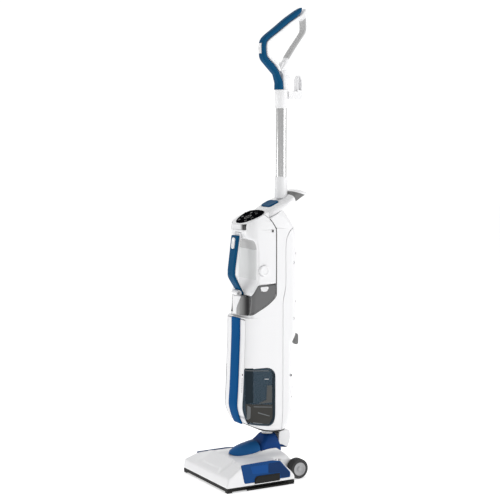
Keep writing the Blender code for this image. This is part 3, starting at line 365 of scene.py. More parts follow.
def piece(item, material, body, nodes=(), slot=None, bevel=0.0008, segments=2, angle=32, weld=0.00015,
        sharp=35):
    """Finishes a piece: material, edges, and the body it moves with."""
    shape = bmesh.new()
    shape.from_mesh(item.data)
    if weld:
        bmesh.ops.remove_doubles(shape, verts=shape.verts, dist=weld)
        bmesh.ops.dissolve_degenerate(shape, edges=shape.edges, dist=weld * 0.2)
    shape.to_mesh(item.data)
    shape.free()
    item.data.transform(Matrix.Translation((0, DATUM_Y, 0)))
    item.data.materials.clear()
    item.data.materials.append(M[material])
    item.data.shade_smooth()
    item.data.set_sharp_from_angle(angle=math.radians(sharp))
    if bevel:
        edge = item.modifiers.new("edges", "BEVEL")
        edge.width, edge.segments = bevel, segments
        edge.limit_method, edge.angle_limit = "ANGLE", math.radians(angle)
        edge.use_clamp_overlap = False
        edge.miter_outer = "MITER_ARC"
        edge.harden_normals = True
    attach(item, body)
    for node in nodes:
        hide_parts(node)
    return item


def part(item, material, body, **edges):
    """Finishes a piece that takes the place of the CAD node it is named after."""
    node = item.name.removeprefix("visual_")
    return piece(item, material, body, [node], SLOTS[node], **edges)


# ---------------------------------------------------------------- body form
# stations of the body: height, front and rear edge, half width, width and depth of the front corners
BODY = np.array(mm((
    (114, -46, 56, 47, 16, 24),
    (140, -54.5, 66, 52.5, 14, 30),
    (152, -60.5, 70, 54.5, 12.5, 36),
    (170, -66.5, 72.5, 55.8, 11.5, 42),
    (187, -70, 72.8, 56, 10.8, 46),
    (230, -67.5, 73, 56, 10.8, 46),
    (335, -63, 73.5, 56, 10.8, 45),
    (362, -62, 84, 56, 10.8, 44),
    (407, -61.2, 84, 56, 10.8, 42),
    (407.5, -51.6, 84, 56, 10, 12),
    (461, -47.8, 84, 56, 10, 12),
    (466, -47.8, 84, 56, 10, 12),
    (482, -38.5, 84, 56, 8, 10),
    (499, -30.5, 84, 56, 4, 4),
    (574, -30.5, 84, 56, 4, 4),
    (576, -30.9, 84, 56, 4, 4),
    (591.5, -34.8, 84, 56, 6, 6),
    (597.5, -40.9, 84, 56, 10, 11),
    (601, -48.7, 84, 56, 17, 19),
    (605, -54.5, 84, 56, 25, 27),
    (628, -57.5, 77, 55.2, 30, 30),
    (648, -56, 66.5, 51, 30, 30),
    (668, -52, 54, 45, 28, 28),
    (690, -48, 42, 40, 26, 26),
)))
BODY_FLOOR = mm(((90, 128), (66, 124.5), (45, 121), (25, 120.5), (0, 124), (-20, 129.2), (-38, 136.2),
    (-54, 143), (-75, 151)))
SEAM = mm(((3, 674), (3, 650), (11, 639), (17.8, 626), (19.5, 612), (19.5, 464)))
TANK_FLOOR = mm(((14, 453.5), (-4.5, 439), (-30, 425.5), (-49, 416.5), (-70, 411)))
REAR_LINE = mm(((39.2, 50), (39.2, 430), (40, 448), (46.2, 476), (47.3, 500), (47.3, 575), (50.8, 602.3),
    (67.4, 623.7), (120, 640)))
WINDOW = mm(((-90, 145), (-56, 145.2), (-20, 138.5), (4, 135), (13, 140.5), (17.2, 152), (17.2, 269),
    (1, 282), (-90, 282)))
DECK = mm(((4.5, 38, 649.5, 667.2), (18, 44, 656, 675), (33, 45.5, 664, 683.2), (50, 45.5, 673.5, 690),
    (66, 44.5, 681.5, 697.5), (80, 40, 686.5, 707), (90, 34, 688.5, 714.5), (106, 28, 696, 716.8),
    (125, 20.5, 703.5, 712.2), (139.5, 11, 704, 706.2)))
WALL = 0.0025
FASCIA_HALF_W = 0.044
BAR_HALF_W = 0.02
TUBE_Y, TUBE_R = 0.066, 0.0135
SWIVEL_Y = 0.0265
FORMS = [monotone(BODY[:, 0], BODY[:, k]) for k in range(1, 6)]
STEP = 0.006                # the rings of a body form are at most this far apart
LEVELS = []
for low_z, high_z in zip(BODY[:-1, 0], BODY[1:, 0]):
    count = max(2, math.ceil((high_z - low_z) / STEP))
    LEVELS += list(np.linspace(low_z, high_z, count + 1)[:-1])
LEVELS.append(BODY[-1, 0])


def section(front, rear, half_w, across, back, rear_r, z, steps=9):
    """A plan ring whose front corners are quarter ellipses and rear corners are round."""
    ring = []
    side, cheek = half_w - across, half_w - rear_r
    corners = ((side, front + back, across, back, -90), (cheek, rear - rear_r, rear_r, rear_r, 0),
        (-cheek, rear - rear_r, rear_r, rear_r, 90), (-side, front + back, across, back, 180))
    for cx, cy, rx, ry, start in corners:
        for k in range(steps + 1):
            angle = math.radians(start + 90 * k / steps)
            ring.append((cx + rx * math.cos(angle), cy + ry * math.sin(angle), z))
    return ring


def envelope(name, inset=0.0):
    """The whole body form, moved inwards by the inset."""
    rings = []
    for z in LEVELS:
        front, rear, half_w, across, back = (form(z) for form in FORMS)
        rings.append(section(front + inset, rear - inset, half_w - inset, max(across - inset, 0.001),
            max(back - inset, 0.001), 0.02 - inset, z))
    return loft(name, rings)


def region(name, outline):
    """A side outline carried right across the machine."""
    return prism(name, outline, -0.2, 0.2)


def scoop(item, wall, outline):
    """Hollows a piece of the body to a wall thickness within a side outline."""
    cut(item, common(envelope("hollow", wall), region("hollow_region", outline)))


def grown(outline, amount):
    """An outline moved outwards, or inwards for a negative amount."""
    pts = [Vector(p) for p in outline]
    turn = sum(a.x * b.y - b.x * a.y for a, b in zip(pts, pts[1:] + pts[:1]))
    result = []
    for k, here in enumerate(pts):
        one = (here - pts[k - 1]).normalized()
        two = (pts[(k + 1) % len(pts)] - here).normalized()
        out = Vector((one.y + two.y, -one.x - two.x)) * (1 if turn > 0 else -1)
        out = out.normalized() / max(0.4, math.sqrt(max(0.0, (1 + one.dot(two)) / 2)))
        result.append(tuple(here + out * amount))
    return result


def below_floor(drop=0.0):
    """Everything under the body's curved underside."""
    line = curve_through([(y, z - drop) for y, z in BODY_FLOOR])
    return region("underside", [(-0.3, 0.0), (0.3, 0.0), (0.3, 0.128 - drop)] + line
        + [(-0.3, 0.151 - drop)])


SEAM_LINE = curve_through(SEAM[1:], 6)
REAR_CURVE = [REAR_LINE[0]] + curve_through(REAR_LINE[1:], 6)
FLOOR_CURVE = curve_through(TANK_FLOOR, 6)
DECK_CURVE = curve_through([(y, low) for y, half, low, high in DECK], 4)


def main_shell():
    """The white front and side shell, with the bay for the waste module cut out."""
    shell = envelope("visual_main_shell")
    under_deck = [(y, z - 0.0005) for y, z in reversed(DECK_CURVE) if 0.017 < y < 0.089] + [(0.0056, 0.649)]
    seam = [(y + CLEAR, z) for y, z in SEAM_LINE if z < 0.642]
    cradle = [(y, z - CLEAR) for y, z in FLOOR_CURVE]
    common(shell, region("part", [(-0.2, 0.05)] + [(y - CLEAR, z + CLEAR) for y, z in REAR_CURVE]
        + [(0.12, 0.688)] + under_deck + seam + cradle + [(-0.2, 0.4107)]))
    cut(shell, below_floor())
    pocket = mm(((-200, 50), (-30.5, 50), (-30.5, 140), (6, 143.5), (12.5, 149), (16, 157.5), (16, 403.5),
        (-200, 403.5)))
    cut(shell, on_fascia("pocket", pocket, 0.0005))
    cut(shell, region("window", grown(fillet(WINDOW, 0.01), 0.0005)))
    scoop(shell, WALL, mm(((19, 134), (200, 134), (200, 700), (69, 680), (50, 670), (33, 660.5),
        (22.2, 654), (22.2, 464), (19, 440))))
    cut(shell, disc("riser_bore", "Z", (0, SWIVEL_Y, 0), 0.0125, 0.1, 0.2))
    part(shell, "white", "main_body")


def rear_cover():
    """The white back with its vents and screws."""
    cover = envelope("visual_rear_cover")
    line = [(y + CLEAR, z - CLEAR) for y, z in REAR_CURVE]
    common(cover, region("part", [(0.2, 0.05), (0.2, 0.64)] + line[::-1]))
    cut(cover, below_floor())
    scoop(cover, WALL, mm(((0, 132), (200, 132), (200, 700), (0, 700))))
    cut(cover, disc("gland_bore", "Y", (0.025, 0, 0.22), 0.0068, 0.06, 0.09))
    spots = [(x, 0.0835 if z > 0.4 else 0.0722, z) for z in (0.2, 0.44, 0.56) for x in (-0.04, 0.04)]
    for x, y, z in spots:
        cut(cover, disc("screw_well", "Y", (x, 0, z), 0.004, y, 0.09, 24))
    for k in range(7):
        z = 0.47 + k * 0.0065
        cut(cover, prism("vent", ((0.0832, z), (0.09, z - 0.001), (0.09, z + 0.0022),
            (0.0832, z + 0.0022)), -0.026, 0.026))
    part(cover, "white", "main_body")
    for x, y, z in spots:
        screw = disc(f"rear_screw_{round(z * 100)}_{'r' if x > 0 else 'l'}", "Y", (x, 0, z), 0.0036,
            y + 0.0001, y + 0.0008, 24)
        for half_x, half_z in ((0.0022, 0.0004), (0.0004, 0.0022)):
            cut(screw, box("slot", (x - half_x, y + 0.0004, z - half_z), (x + half_x, 0.1, z + half_z)))
        piece(screw, "grey", "main_body", bevel=0.0001)


def on_fascia(name, outline, extra=0.0):
    """A side outline as wide as the waste module's front."""
    return prism(name, outline, -FASCIA_HALF_W - extra, FASCIA_HALF_W + extra)


def waste_module():
    """The white front with its grip bar, and the tinted tank behind its window."""
    plate = envelope("visual_tank_fascia")
    common(plate, on_fascia("part", mm(((-200, 50), (-33, 50), (-33, 403), (-200, 403)))))
    cut(plate, below_floor())
    cut(plate, envelope("inside", 0.003))
    part(plate, "white", "waste_module", bevel=0.001)

    rings = []
    for z in [z for z in LEVELS if 0.139 < z < 0.407] + [0.4055]:
        skin = FORMS[0](z) - 0.0002
        rings.append([(x, skin - proud, z) for x, proud in ((-BAR_HALF_W, 0), (-BAR_HALF_W, 0.0022),
            (-BAR_HALF_W + 0.0006, 0.0032), (-BAR_HALF_W + 0.0022, 0.004), (-0.009, 0.0042),
            (0.009, 0.0042), (BAR_HALF_W - 0.0022, 0.004), (BAR_HALF_W - 0.0006, 0.0032),
            (BAR_HALF_W, 0.0022), (BAR_HALF_W, 0))])
    rings.sort(key=lambda ring: ring[0][2])
    part(loft("visual_front_bar", rings), "blue_bar", "waste_module", bevel=0.0006)

    tank = envelope("visual_waste_tank", 0.0002)
    common(tank, region("part", fillet(WINDOW, 0.01)))
    cut(tank, below_floor())
    skin = on_fascia("skin", mm(((-200, 50), (-20, 50), (-20, 300), (-200, 300))), 0.0005)
    cut(skin, envelope("inside", 0.0033))
    cut(tank, skin)
    scoop(tank, 0.0058, mm(((-90, 149), (-20, 143), (3.5, 140.5), (10.5, 146), (13.8, 156), (13.8, 298),
        (-90, 298))))
    part(tank, "slate", "waste_module", bevel=0.0008)


def base_plate():
    """The black plate under the body."""
    plate = envelope("visual_base_plate", CLEAR)
    ceiling = [(y, z - CLEAR) for y, z in curve_through(BODY_FLOOR)]
    common(plate, region("part", [(-0.024, 0.05), (0.06, 0.05), (0.06, 0.123)] + [p for p in ceiling
        if -0.024 < p[0] < 0.06] + [(-0.024, 0.1303)]))
    cut(plate, below_floor(0.0032))
    cut(plate, disc("riser_bore", "Z", (0, SWIVEL_Y, 0), 0.0118, 0.1, 0.2))
    part(plate, "black", "main_body", bevel=0.0004)


def deck_blank(name, steps=24, inset=0.0):
    """The deck's rounded form."""
    rows = curve_through(DECK, 5)
    rings = []
    for y, half, low, high in rows:
        ring = []
        for k in range(steps + 1):
            angle = math.pi * k / steps
            ring.append((-(half - inset) * math.copysign(abs(math.cos(angle)) ** 0.55, math.cos(angle)),
                y, low + 0.002 + (high - low - 0.002 - inset) * math.sin(angle) ** 0.55))
        ring += [((half - inset) * 0.96, y, low + inset), (-(half - inset) * 0.96, y, low + inset)]
        rings.append(ring)
    return loft(name, rings)


SLOPE = math.radians(26)
INSERT_SIDE = mm(((77, 709.5), (86, 712.6), (123.5, 703), (123.5, 690), (94, 682), (86, 692.5)))
DISPLAY = (-0.027, 0.6522)
KNOB = (0, -0.016, 0.523)
SIDE_SCREW = (0, 0.0096, 0.6194)
BUTTON = (0.033, 0.6838)


def on_slope(x, along, out, centre):
    """A point in the plane of the display, which leans back by SLOPE."""
    cy, cz = centre
    return (x, cy + along * math.cos(SLOPE) - out * math.sin(SLOPE),
        cz + along * math.sin(SLOPE) + out * math.cos(SLOPE))


def slope_loft(name, outline, levels, centre):
    """An outline on the sloping top lofted through (height, size) levels."""
    return loft(name, [[on_slope(x * size, s * size, out, centre) for x, s in outline]
        for out, size in levels])


def panel_outline(grow=0.0):
    """The touch panel's egg shape, broad at its upper end."""
    half = mm(((0, -31.5), (12.5, -30.2), (23.5, -24.5), (33.5, -13), (40.5, 2), (41.8, 15.5), (34.5, 27),
        (18.5, 33.5), (0, 35)))
    ring = list(half) + [(-x, s) for x, s in half[-2:0:-1]]
    return grown(curve_through(ring, 6, True), grow)


def soft_square(half_x, half_s, radius, steps=6):
    """A rectangle with rounded corners."""
    return fillet(((-half_x, -half_s), (half_x, -half_s), (half_x, half_s), (-half_x, half_s)), radius,
        steps)


def deck():
    """The lid behind the hood, its tail insert and the blue release button."""
    lid = deck_blank("visual_deck")
    cut(lid, slope_loft("pocket", soft_square(0.0258, 0.0158, 0.0122, 8), ((-0.006, 1), (0.01, 1)),
        BUTTON))
    cut(lid, region("insert_pocket", grown(INSERT_SIDE, CLEAR)))
    cut(lid, disc("stem_socket", "Z", (0, TUBE_Y, 0), TUBE_R + 0.003, 0.696, 0.72))
    part(lid, "white", "main_body", bevel=0.0007)
    insert = deck_blank("visual_wing_insert", inset=0.0003)
    common(insert, region("part", INSERT_SIDE))
    part(insert, "grey", "main_body", bevel=0.0006)
    button = slope_loft("visual_release_button", soft_square(0.025, 0.015, 0.0118, 9),
        ((-0.0028, 1), (0.0006, 1), (0.0012, 0.985), (0.0016, 0.95), (0.0015, 0.8), (0.0009, 0.45)),
        BUTTON)
    part(button, "blue", "release_button", bevel=0)


def stem_and_tube():
    """The socket behind the deck and the tube in it."""
    stem = turned("visual_lower_stem", ((0.6963, 0.0158), (0.705, 0.016), (0.744, 0.0155),
        (0.7488, 0.0152), (0.75, 0.0146), (0.75, TUBE_R + CLEAR), (0.6985, TUBE_R + CLEAR),
        (0.6985, 0.002), (0.6963, 0.002)), "Z", (0, TUBE_Y, 0), 64)
    part(stem, "white", "main_body", bevel=0.0004, angle=40)
    tube = turned("visual_chrome_tube", ((0.699, 0.012), (0.925, 0.012), (0.925, TUBE_R),
        (0.699, TUBE_R)), "Z", (0, TUBE_Y, 0), 72)
    part(tube, "chrome", "handle", bevel=0.0003)


# ---------------------------------------------------------------- hand unit
def unit_shell():
    """The hood with its display, and the grip recess behind the carry handle, covered with grey sheets of
    painted shade and painted shadow.
    """
    shell = envelope("visual_unit_shell")
    rise = [(y - CLEAR, z) for y, z in reversed(SEAM_LINE) if z > 0.487]
    common(shell, region("part", [(-0.2, 0.4602), (-0.0478, 0.4602), (-0.031, 0.4867), (0.0186, 0.4867)]
        + rise + [(0.0038, 0.6662), (-0.06, 0.636), (-0.2, 0.571)]))
    scoop(shell, WALL, mm(((-28, 470), (16, 470), (16, 604), (15, 626), (10, 638), (1, 648), (0, 660),
        (-60, 632), (-200, 567), (-200, 610), (-28, 610))))
    cut(shell, slope_loft("display_pocket", panel_outline(CLEAR), ((-0.0012, 1), (0.02, 1)), DISPLAY))
    cut(shell, prism("latch_pocket", mm(((-70, 616), (-46, 626.2), (-46, 641), (-70, 629))), -0.037,
        0.037))
    cut(shell, box("frame_pocket", (-0.0155, -0.064, 0.59), (0.0155, -0.0497, 0.6152)))
    cut(shell, disc("knob_bore", "X", KNOB, 0.0136, 0.045, 0.065, 64))
    for side in (-1, 1):
        low, high = span(side, 0.05, 0.06)
        cut(shell, disc("bore", "X", SIDE_SCREW, 0.0028, low, high, 24))
    part(shell, "white", "hand_unit", bevel=0.001)
    # the white recess is covered with thin grey sheets: painted shade on its back face, and darker painted
    # shadow on the slanted ceiling under the hood
    face = [(-0.0305, 0.4995), (-0.0305, 0.574)]
    slant = [(-0.0305, 0.5742), (-0.0309, 0.576), (-0.0348, 0.5915), (-0.0375, 0.595), (-0.0409, 0.5975)]
    for name, line, half, shade in (("recess_liner", face, 0.0436, "pale"), ("recess_ceiling", slant,
            0.0455, "mid")):
        shade_sheet = prism(name, [(y - 0.0006, z) for y, z in line] + [(y + 0.001, z) for y, z in line[::-1]],
            -half, half)
        piece(shade_sheet, shade, "hand_unit", bevel=0.0004)

    panel = slope_loft("visual_display_panel", panel_outline(), ((-0.0009, 1), (0.0004, 1),
        (0.0008, 0.993), (0.001, 0.98), (0.0011, 0.6)), DISPLAY)
    part(panel, "glass", "hand_unit", bevel=0)
    icons()


ICON_FOOT, ICON_TOP = 0.0009, 0.00125


def flat_icon(name, outline):
    """A filled sign on the panel."""
    item = slope_loft(name, outline, ((ICON_FOOT, 1), (ICON_TOP, 1)), DISPLAY)
    piece(item, "icon", "hand_unit", bevel=0, weld=0)


def ring_icon(name, cx, cs, radius, width, start=0.0, sweep=360.0, steps=40):
    """A ring or an arc on the panel."""
    full = sweep >= 360
    count = steps if full else steps + 1
    rings = []
    for k in range(count):
        angle = math.radians(start + sweep * k / steps)
        spot = [(cx + r * math.cos(angle), cs + r * math.sin(angle)) for r in (radius - width / 2,
            radius + width / 2)]
        rings.append([on_slope(x, s, out, DISPLAY) for out in (ICON_FOOT, 0.0012) for x, s in (spot
            if out < 0.001 else spot[::-1])])
    piece(loft(name, rings, closed=full), "icon", "hand_unit", bevel=0, weld=0)


def icons():
    """Plain rings, drops, dials and bars on the display."""
    ring_icon("icon_ring", 0.0, -0.002, 0.0088, 0.0016)
    ring_icon("icon_half", 0.0, -0.002, 0.0048, 0.0012, 100, 160, 16)
    flat_icon("icon_bar", [(x + 0.0022, s - 0.002) for x, s in soft_square(0.0006, 0.0042, 0.0004, 3)])
    for k, (x, s) in enumerate(mm(((-24, -4), (24, -4), (-14, 17), (14, 17), (-16, -19), (16, -19)))):
        drop = [(x + 0.0026 * math.sin(t) * (1 - 0.45 * math.cos(t)) * 0.9, s - 0.0036 * math.cos(t))
            for t in (2 * math.pi * n / 28 for n in range(28))]
        if k % 2 == 0:
            flat_icon(f"icon_drop_{k}", drop)
        else:
            ring_icon(f"icon_dial_{k}", x, s, 0.0028, 0.0008)
    for k in range(4):
        flat_icon(f"icon_level_{k}", [(x - 0.0045 + k * 0.003, s + 0.0225)
            for x, s in soft_square(0.001, 0.0005, 0.0003, 3)])


GRIP_OUT = mm(((-49, 460), (-76, 501), (-79, 518), (-77.5, 534), (-68, 608)))
GRIP_MID = mm(((-48.4, 465), (-70.5, 506), (-72.5, 518), (-71.2, 532), (-59.8, 608)))
GRIP_IN = mm(((-48.4, 470), (-67.5, 508), (-69, 518), (-67.8, 532), (-56.5, 608)))


GRIP_HALF_W = 0.015


def grip_face(z):
    """Where the grip's front face lies at a height."""
    return -0.068 - (0.608 - z) * 0.128


def fine_line(points):
    """A side line with its bends rounded, ends kept."""
    return [points[0]] + curve_through(points, 7)[4:-4] + [points[-1]]


def carry_handle():
    """The blue grip, its white inner frame and the spray button."""
    grip = prism("visual_carry_grip", fine_line(GRIP_MID) + fine_line(GRIP_OUT)[::-1], -GRIP_HALF_W,
        GRIP_HALF_W)
    depth = 0.0065
    well = fillet(mm(((-7.8, 574.6), (7.8, 574.6), (7.8, 603.4), (-7.8, 603.4))), 0.0064, 8)
    cut(grip, loft("button_pocket", [[(x, grip_face(z) + lift, z) for x, z in well]
        for lift in (depth, -0.02)]))
    part(grip, "blue", "hand_unit", bevel=0.0024, segments=4, angle=50)
    frame_line = [(y + CLEAR, z) for y, z in fine_line(GRIP_MID)]
    inner = prism("visual_grip_frame", fine_line(GRIP_IN) + [(-0.05, 0.61), (-0.05, 0.6147),
        (-0.0595, 0.6147)] + frame_line[::-1], -GRIP_HALF_W, GRIP_HALF_W)
    part(inner, "white", "hand_unit", bevel=0.0009)
    pill = fillet(mm(((-7.2, 575.3), (7.2, 575.3), (7.2, 602.7), (-7.2, 602.7))), 0.0062, 8)
    rings, middle = [], 0.589
    for lift, size in ((0.0035, 1), (-0.0006, 1), (-0.0012, 0.96), (-0.0014, 0.88), (-0.001, 0.66),
            (-0.0004, 0.55)):
        sized = [(x * size, middle + (z - middle) * size) for x, z in pill]
        rings.append([(x, grip_face(z) + lift, z) for x, z in sized])
    part(loft("visual_spray_button", rings), "white", "spray_button", bevel=0)


def clean_tank():
    """The smoke-coloured tank under the hood."""
    tank = envelope("visual_clean_tank", 0.0002)
    outline = [(0.0186, 0.464), (0.0186, 0.4857), (-0.0308, 0.4857), (-0.0474, 0.4595), (-0.2, 0.4595),
        (-0.2, 0.411)] + FLOOR_CURVE[::-1]
    common(tank, region("part", outline))
    scoop(tank, WALL, mm(((16, 466), (16, 500), (-28, 500), (-28, 484), (-45, 456), (-45, 419),
        (-29, 428.5), (-5, 441.5), (12.5, 456))))
    cut(tank, box("plug_bore", (0.048, -0.024, 0.4725), (0.06, -0.005, 0.4825)))
    part(tank, "smoke", "hand_unit", bevel=0.0008)


def nose_plan(x):
    """How far forward the tank's wedge front lies at a distance x from the middle."""
    return -0.0664 + 0.0161 * max(0.0, abs(x) - 0.0088) / 0.0324


def nose():
    """The tank's wedge front and the white rib on it, which spreads towards its top."""
    root = -0.047
    rings = []
    for z, half in mm(((414, 8.8), (415, 9), (429, 9.2), (436, 11.2), (443, 14.2), (450, 17.2),
            (457.3, 20.3), (459.2, 21))):
        right = [(0.0078, nose_plan(0) - 0.0008), (0.0088, nose_plan(0) - 0.0006),
            (half, nose_plan(half) - 0.0006), (half, nose_plan(half) + 0.002), (half, root)]
        rings.append([(-x, y, z) for x, y in right] + [(x, y, z) for x, y in right[::-1]])
    piece(loft("visual_unit_keel", rings), "white", "hand_unit", bevel=0, sharp=50)
    # the tank's front face, coloured with a painted sheen across the middle and painted shade at its
    # corners
    rings = []
    for z in np.linspace(0.4128, 0.459, 9):
        right = [(0.0, nose_plan(0)), (0.0088, nose_plan(0.0088)), (0.025, nose_plan(0.025)),
            (0.038, nose_plan(0.038)), (0.0425, nose_plan(0.0412) + 0.0006), (0.0455, -0.0488),
            (0.0465, root)]
        rings.append([(-x, y, float(z)) for x, y in right[::-1]]
            + [(x, y, float(z)) for x, y in right[1:]])
    piece(loft("tank_front_tint", rings), "front_sheen_and_shade", "hand_unit", bevel=0.0005, sharp=60)
    ring = turned("grip_foot", mm(((-12.5, 5.8), (-12.5, 7.5), (12.5, 7.5), (12.5, 5.8))), "X",
        (0, -0.061, 0.4662), 48)
    piece(ring, "white", "hand_unit", bevel=0.0005)


def unit_buttons():
    """The round knob, the filler tab and the hood latch."""
    knob = turned("visual_tank_release_button", mm(((50, 0.4), (50, 13.1), (59.8, 13.1), (61, 12.7),
        (61.9, 11.7), (62.2, 10.4), (62, 9.6), (61.3, 8.8), (61.1, 7), (61.3, 0.4))), "X", KNOB, 72)
    part(knob, "white", "tank_release_button", bevel=0)
    plug = box("visual_filler_plug", (0.0485, -0.0237, 0.4728), (0.0562, -0.0053, 0.4822))
    tab = fillet(mm(((-26.2, 480), (-20.5, 471.8), (-8.5, 471.8), (-2.8, 480), (-4.8, 483.8),
        (-24.2, 483.8))), 0.0032, 5)
    cap = prism("cap", tab, 0.056, 0.058)
    cut(cap, prism("dip", [(-0.0145 + (y + 0.0145) * 0.55, 0.4772 + (z - 0.4772) * 0.45) for y, z in tab],
        0.0574, 0.06))
    join(plug, cap)
    part(plug, "white", "filler_plug", bevel=0.0006)
    rings = []
    for x in np.linspace(-0.0362, 0.0362, 25):
        front = -0.0566 + 0.002 * (max(0.0, abs(x) - 0.0252) / 0.011) ** 2
        rings.append([(x, front + 0.0004, 0.6222), (x, -0.047, 0.6258), (x, -0.047, 0.6398),
            (x, front + 0.0002, 0.6352), (x, front - 0.0003, 0.632), (x, front, 0.626)])
    # the latch's colour is painted shade: light grey at the left, near black to the right
    part(loft("visual_hood_latch", rings), "latch", "hood_latch", bevel=0.0004)


# ---------------------------------------------------------------- floor head
HEAD_SIDE = mm(((-152, 11.2), (38, 11.2), (38, 21), (27, 34.5), (0, 59), (-20, 61), (-102, 61),
    (-113, 59), (-148.2, 34.5), (-152, 18)))
PANEL_SIDE = mm(((-103.7, 18.5), (24, 18.9), (24, 31.2), (-4.1, 62.6), (-26.8, 66.8), (-71.7, 66.2),
    (-114, 65)))
ARM_SIDE = mm(((30, 13), (76, 14.5), (82, 22), (80, 31), (62, 47), (30, 52)))
HUMP = mm(((50, 60, -100, 60), (56, 55, -88, 56), (62, 40, -62, 50), (66, 34.5, -38, 48),
    (70, 32.5, -22, 46), (75.5, 31.2, 0, 43.5)))
TONGUE = mm(((-82, 3, 64, 66.8), (-76, 14, 61.5, 72), (-63, 23, 61, 78.5), (-46, 29, 62, 84),
    (-25, 30.8, 66, 88.5), (-10.5, 30.8, 70, 91)))
WHEEL_Y, WHEEL_R = 0.0706, 0.025
WHEEL_IN, WHEEL_OUT = 0.0615, 0.0865
ROLLER_Y, ROLLER_Z = -0.103, 0.0232
TILT_Y, TILT_Z = 0.03, 0.058
DRUM_R = 0.018


def tongue_blank(name, extra=0.0, steps=28):
    """The tongue's rounded form, a little larger when it cuts its pocket."""
    rings = []
    for y, half, low, high in curve_through(TONGUE, 6):
        half, low, high = half + extra, low - extra, high + extra
        rings.append([(half * math.cos(math.pi * k / steps), y + (extra if y > -0.02 else -extra),
            low + (high - low) * math.sin(math.pi * k / steps) ** 0.8) for k in range(steps + 1)])
    return loft(name, rings)


SKIRT_TOP = 0.033           # below this height both sides of the floor head are alike
FAR_START, FAR_SPAN, FAR_DROP = -0.043, 0.074, 0.53


def lower_far_side(item):
    """The side away from the latch stands lower: heights above the skirt shrink towards it."""
    shape = bmesh.new()
    shape.from_mesh(item.data)
    planes = [((FAR_START - FAR_SPAN * k / 8, 0, 0), (1, 0, 0)) for k in range(8)]
    for point, normal in planes + [((0, 0, SKIRT_TOP), (0, 0, 1))]:
        geometry = shape.verts[:] + shape.edges[:] + shape.faces[:]
        bmesh.ops.bisect_plane(shape, geom=geometry, dist=1e-7, plane_co=point, plane_no=normal)
    for vert in shape.verts:
        share = max(0.0, FAR_START - vert.co.x) / FAR_SPAN
        if vert.co.z > SKIRT_TOP:
            vert.co.z = SKIRT_TOP + (vert.co.z - SKIRT_TOP) * (1 - FAR_DROP * share)
    shape.to_mesh(item.data)
    shape.free()


def head_cover():
    """The white cover: side outline, hump, plateau and wheel arms, melted together."""
    outline = fillet(HEAD_SIDE, 0.0045, 4)
    rings = []
    for x, tuck in mm(((-117, 2.2), (-116.3, 0.8), (-114.5, 0), (114.5, 0), (116.3, 0.8), (117, 2.2))):
        rings.append([(x, y, z) for y, z in (grown(outline, -tuck) if tuck else outline)])
    cover = loft("visual_head_cover", rings)
    hump = loft("hump", [section(front, rear, half, half * 0.75, half * 0.75, 0.012, z, 10)
        for z, half, front, rear in curve_through(HUMP, 3)])
    join(cover, hump)
    raised = mm(((-62, 0), (-46, 20), (-26, 13.5), (0, 15), (26, 13.5), (46, 20), (62, 0), (70, 60),
        (-70, 60)))
    lean = math.atan2(0.059 - 0.0345, -0.113 + 0.1482)

    def slope_point(x, s, out):
        return (x, -0.1482 + s * math.cos(lean) - out * math.sin(lean),
            0.0345 + s * math.sin(lean) + out * math.cos(lean))
    join(cover, loft("plateau", [[slope_point(x, s * 0.85 + 0.004, out) for x, s in fillet(raised, 0.008)]
        for out in (-0.004, 0.0021)]))
    for side in (-1, 1):
        join(cover, prism("arm", fillet(ARM_SIDE, 0.008), *span(side, 0.045, 0.0608)))
    soften(cover, 0.0017, 7)
    cut(cover, box("trim", (-0.3, -0.3, -0.1), (0.3, 0.3, 0.0112)))
    inner = mm(((-149.5, -10), (35.5, -10), (35.5, 20), (25, 33), (-1, 56.5), (-102, 58), (-112, 56),
        (-146, 27.5), (-149.5, 18)))
    cut(cover, prism("hollow", inner, -0.1143, 0.1143))
    cut(cover, prism("neck_slot", mm(((-10, 20), (100, 20), (100, 120), (-10, 120))), -0.032, 0.032))
    cut(cover, disc("pin_hole", "X", (0, TILT_Y, TILT_Z), 0.0063, -0.0366, 0.0366))
    for side in (-1, 1):
        cut(cover, prism("panel_pocket", grown(fillet(PANEL_SIDE, 0.004), 0.0006),
            *span(side, 0.1157, 0.12)))
        cut(cover, disc("axle_hole", "X", (0, WHEEL_Y, WHEEL_R), 0.0044, *span(side, 0.04, 0.07)))
    cut(cover, tongue_blank("tongue_pocket", 0.0006))
    lower_far_side(cover)
    part(cover, "white", "floor_head", bevel=0, sharp=50)


RELIEF_SIDE = mm(((-87.8, 58.6), (-39.9, 58.6), (-38.5, 37.9), (-81.2, 39.5)))
SHADE_SIDE = mm(((-37.5, 60.3), (-6.2, 60.9), (21.5, 31.3), (21.5, 21.3), (-2, 21), (-4.8, 35),
    (-37.5, 36.6)))


def side_panels():
    """The blue panels on both sides, with a raised plate in lighter blue as a painted highlight and a
    darker plate as painted shade.
    """
    for side, word in SIDES:
        outline = fillet(PANEL_SIDE, 0.004, 6)
        rings = [[(side * x, y, z) for y, z in (grown(outline, -tuck) if tuck else outline)]
            for x, tuck in mm(((116, 0), (116.8, 0), (117.2, 0.3), (117.45, 1)))]
        panel = loft(f"visual_side_panel_{word}", rings)
        lower_far_side(panel)
        part(panel, "panel", "floor_head", bevel=0)
        # the raised plate's lighter blue is a painted highlight, the other plate's darker blue painted
        # shade
        for name, shape, material in (("relief", RELIEF_SIDE, "relief"), ("shade", SHADE_SIDE,
                "panel_dark")):
            plate = prism(f"side_{name}_{word}", fillet(shape, 0.003), *span(side, 0.1166, 0.1178))
            lower_far_side(plate)
            piece(plate, material, "floor_head", bevel=0)


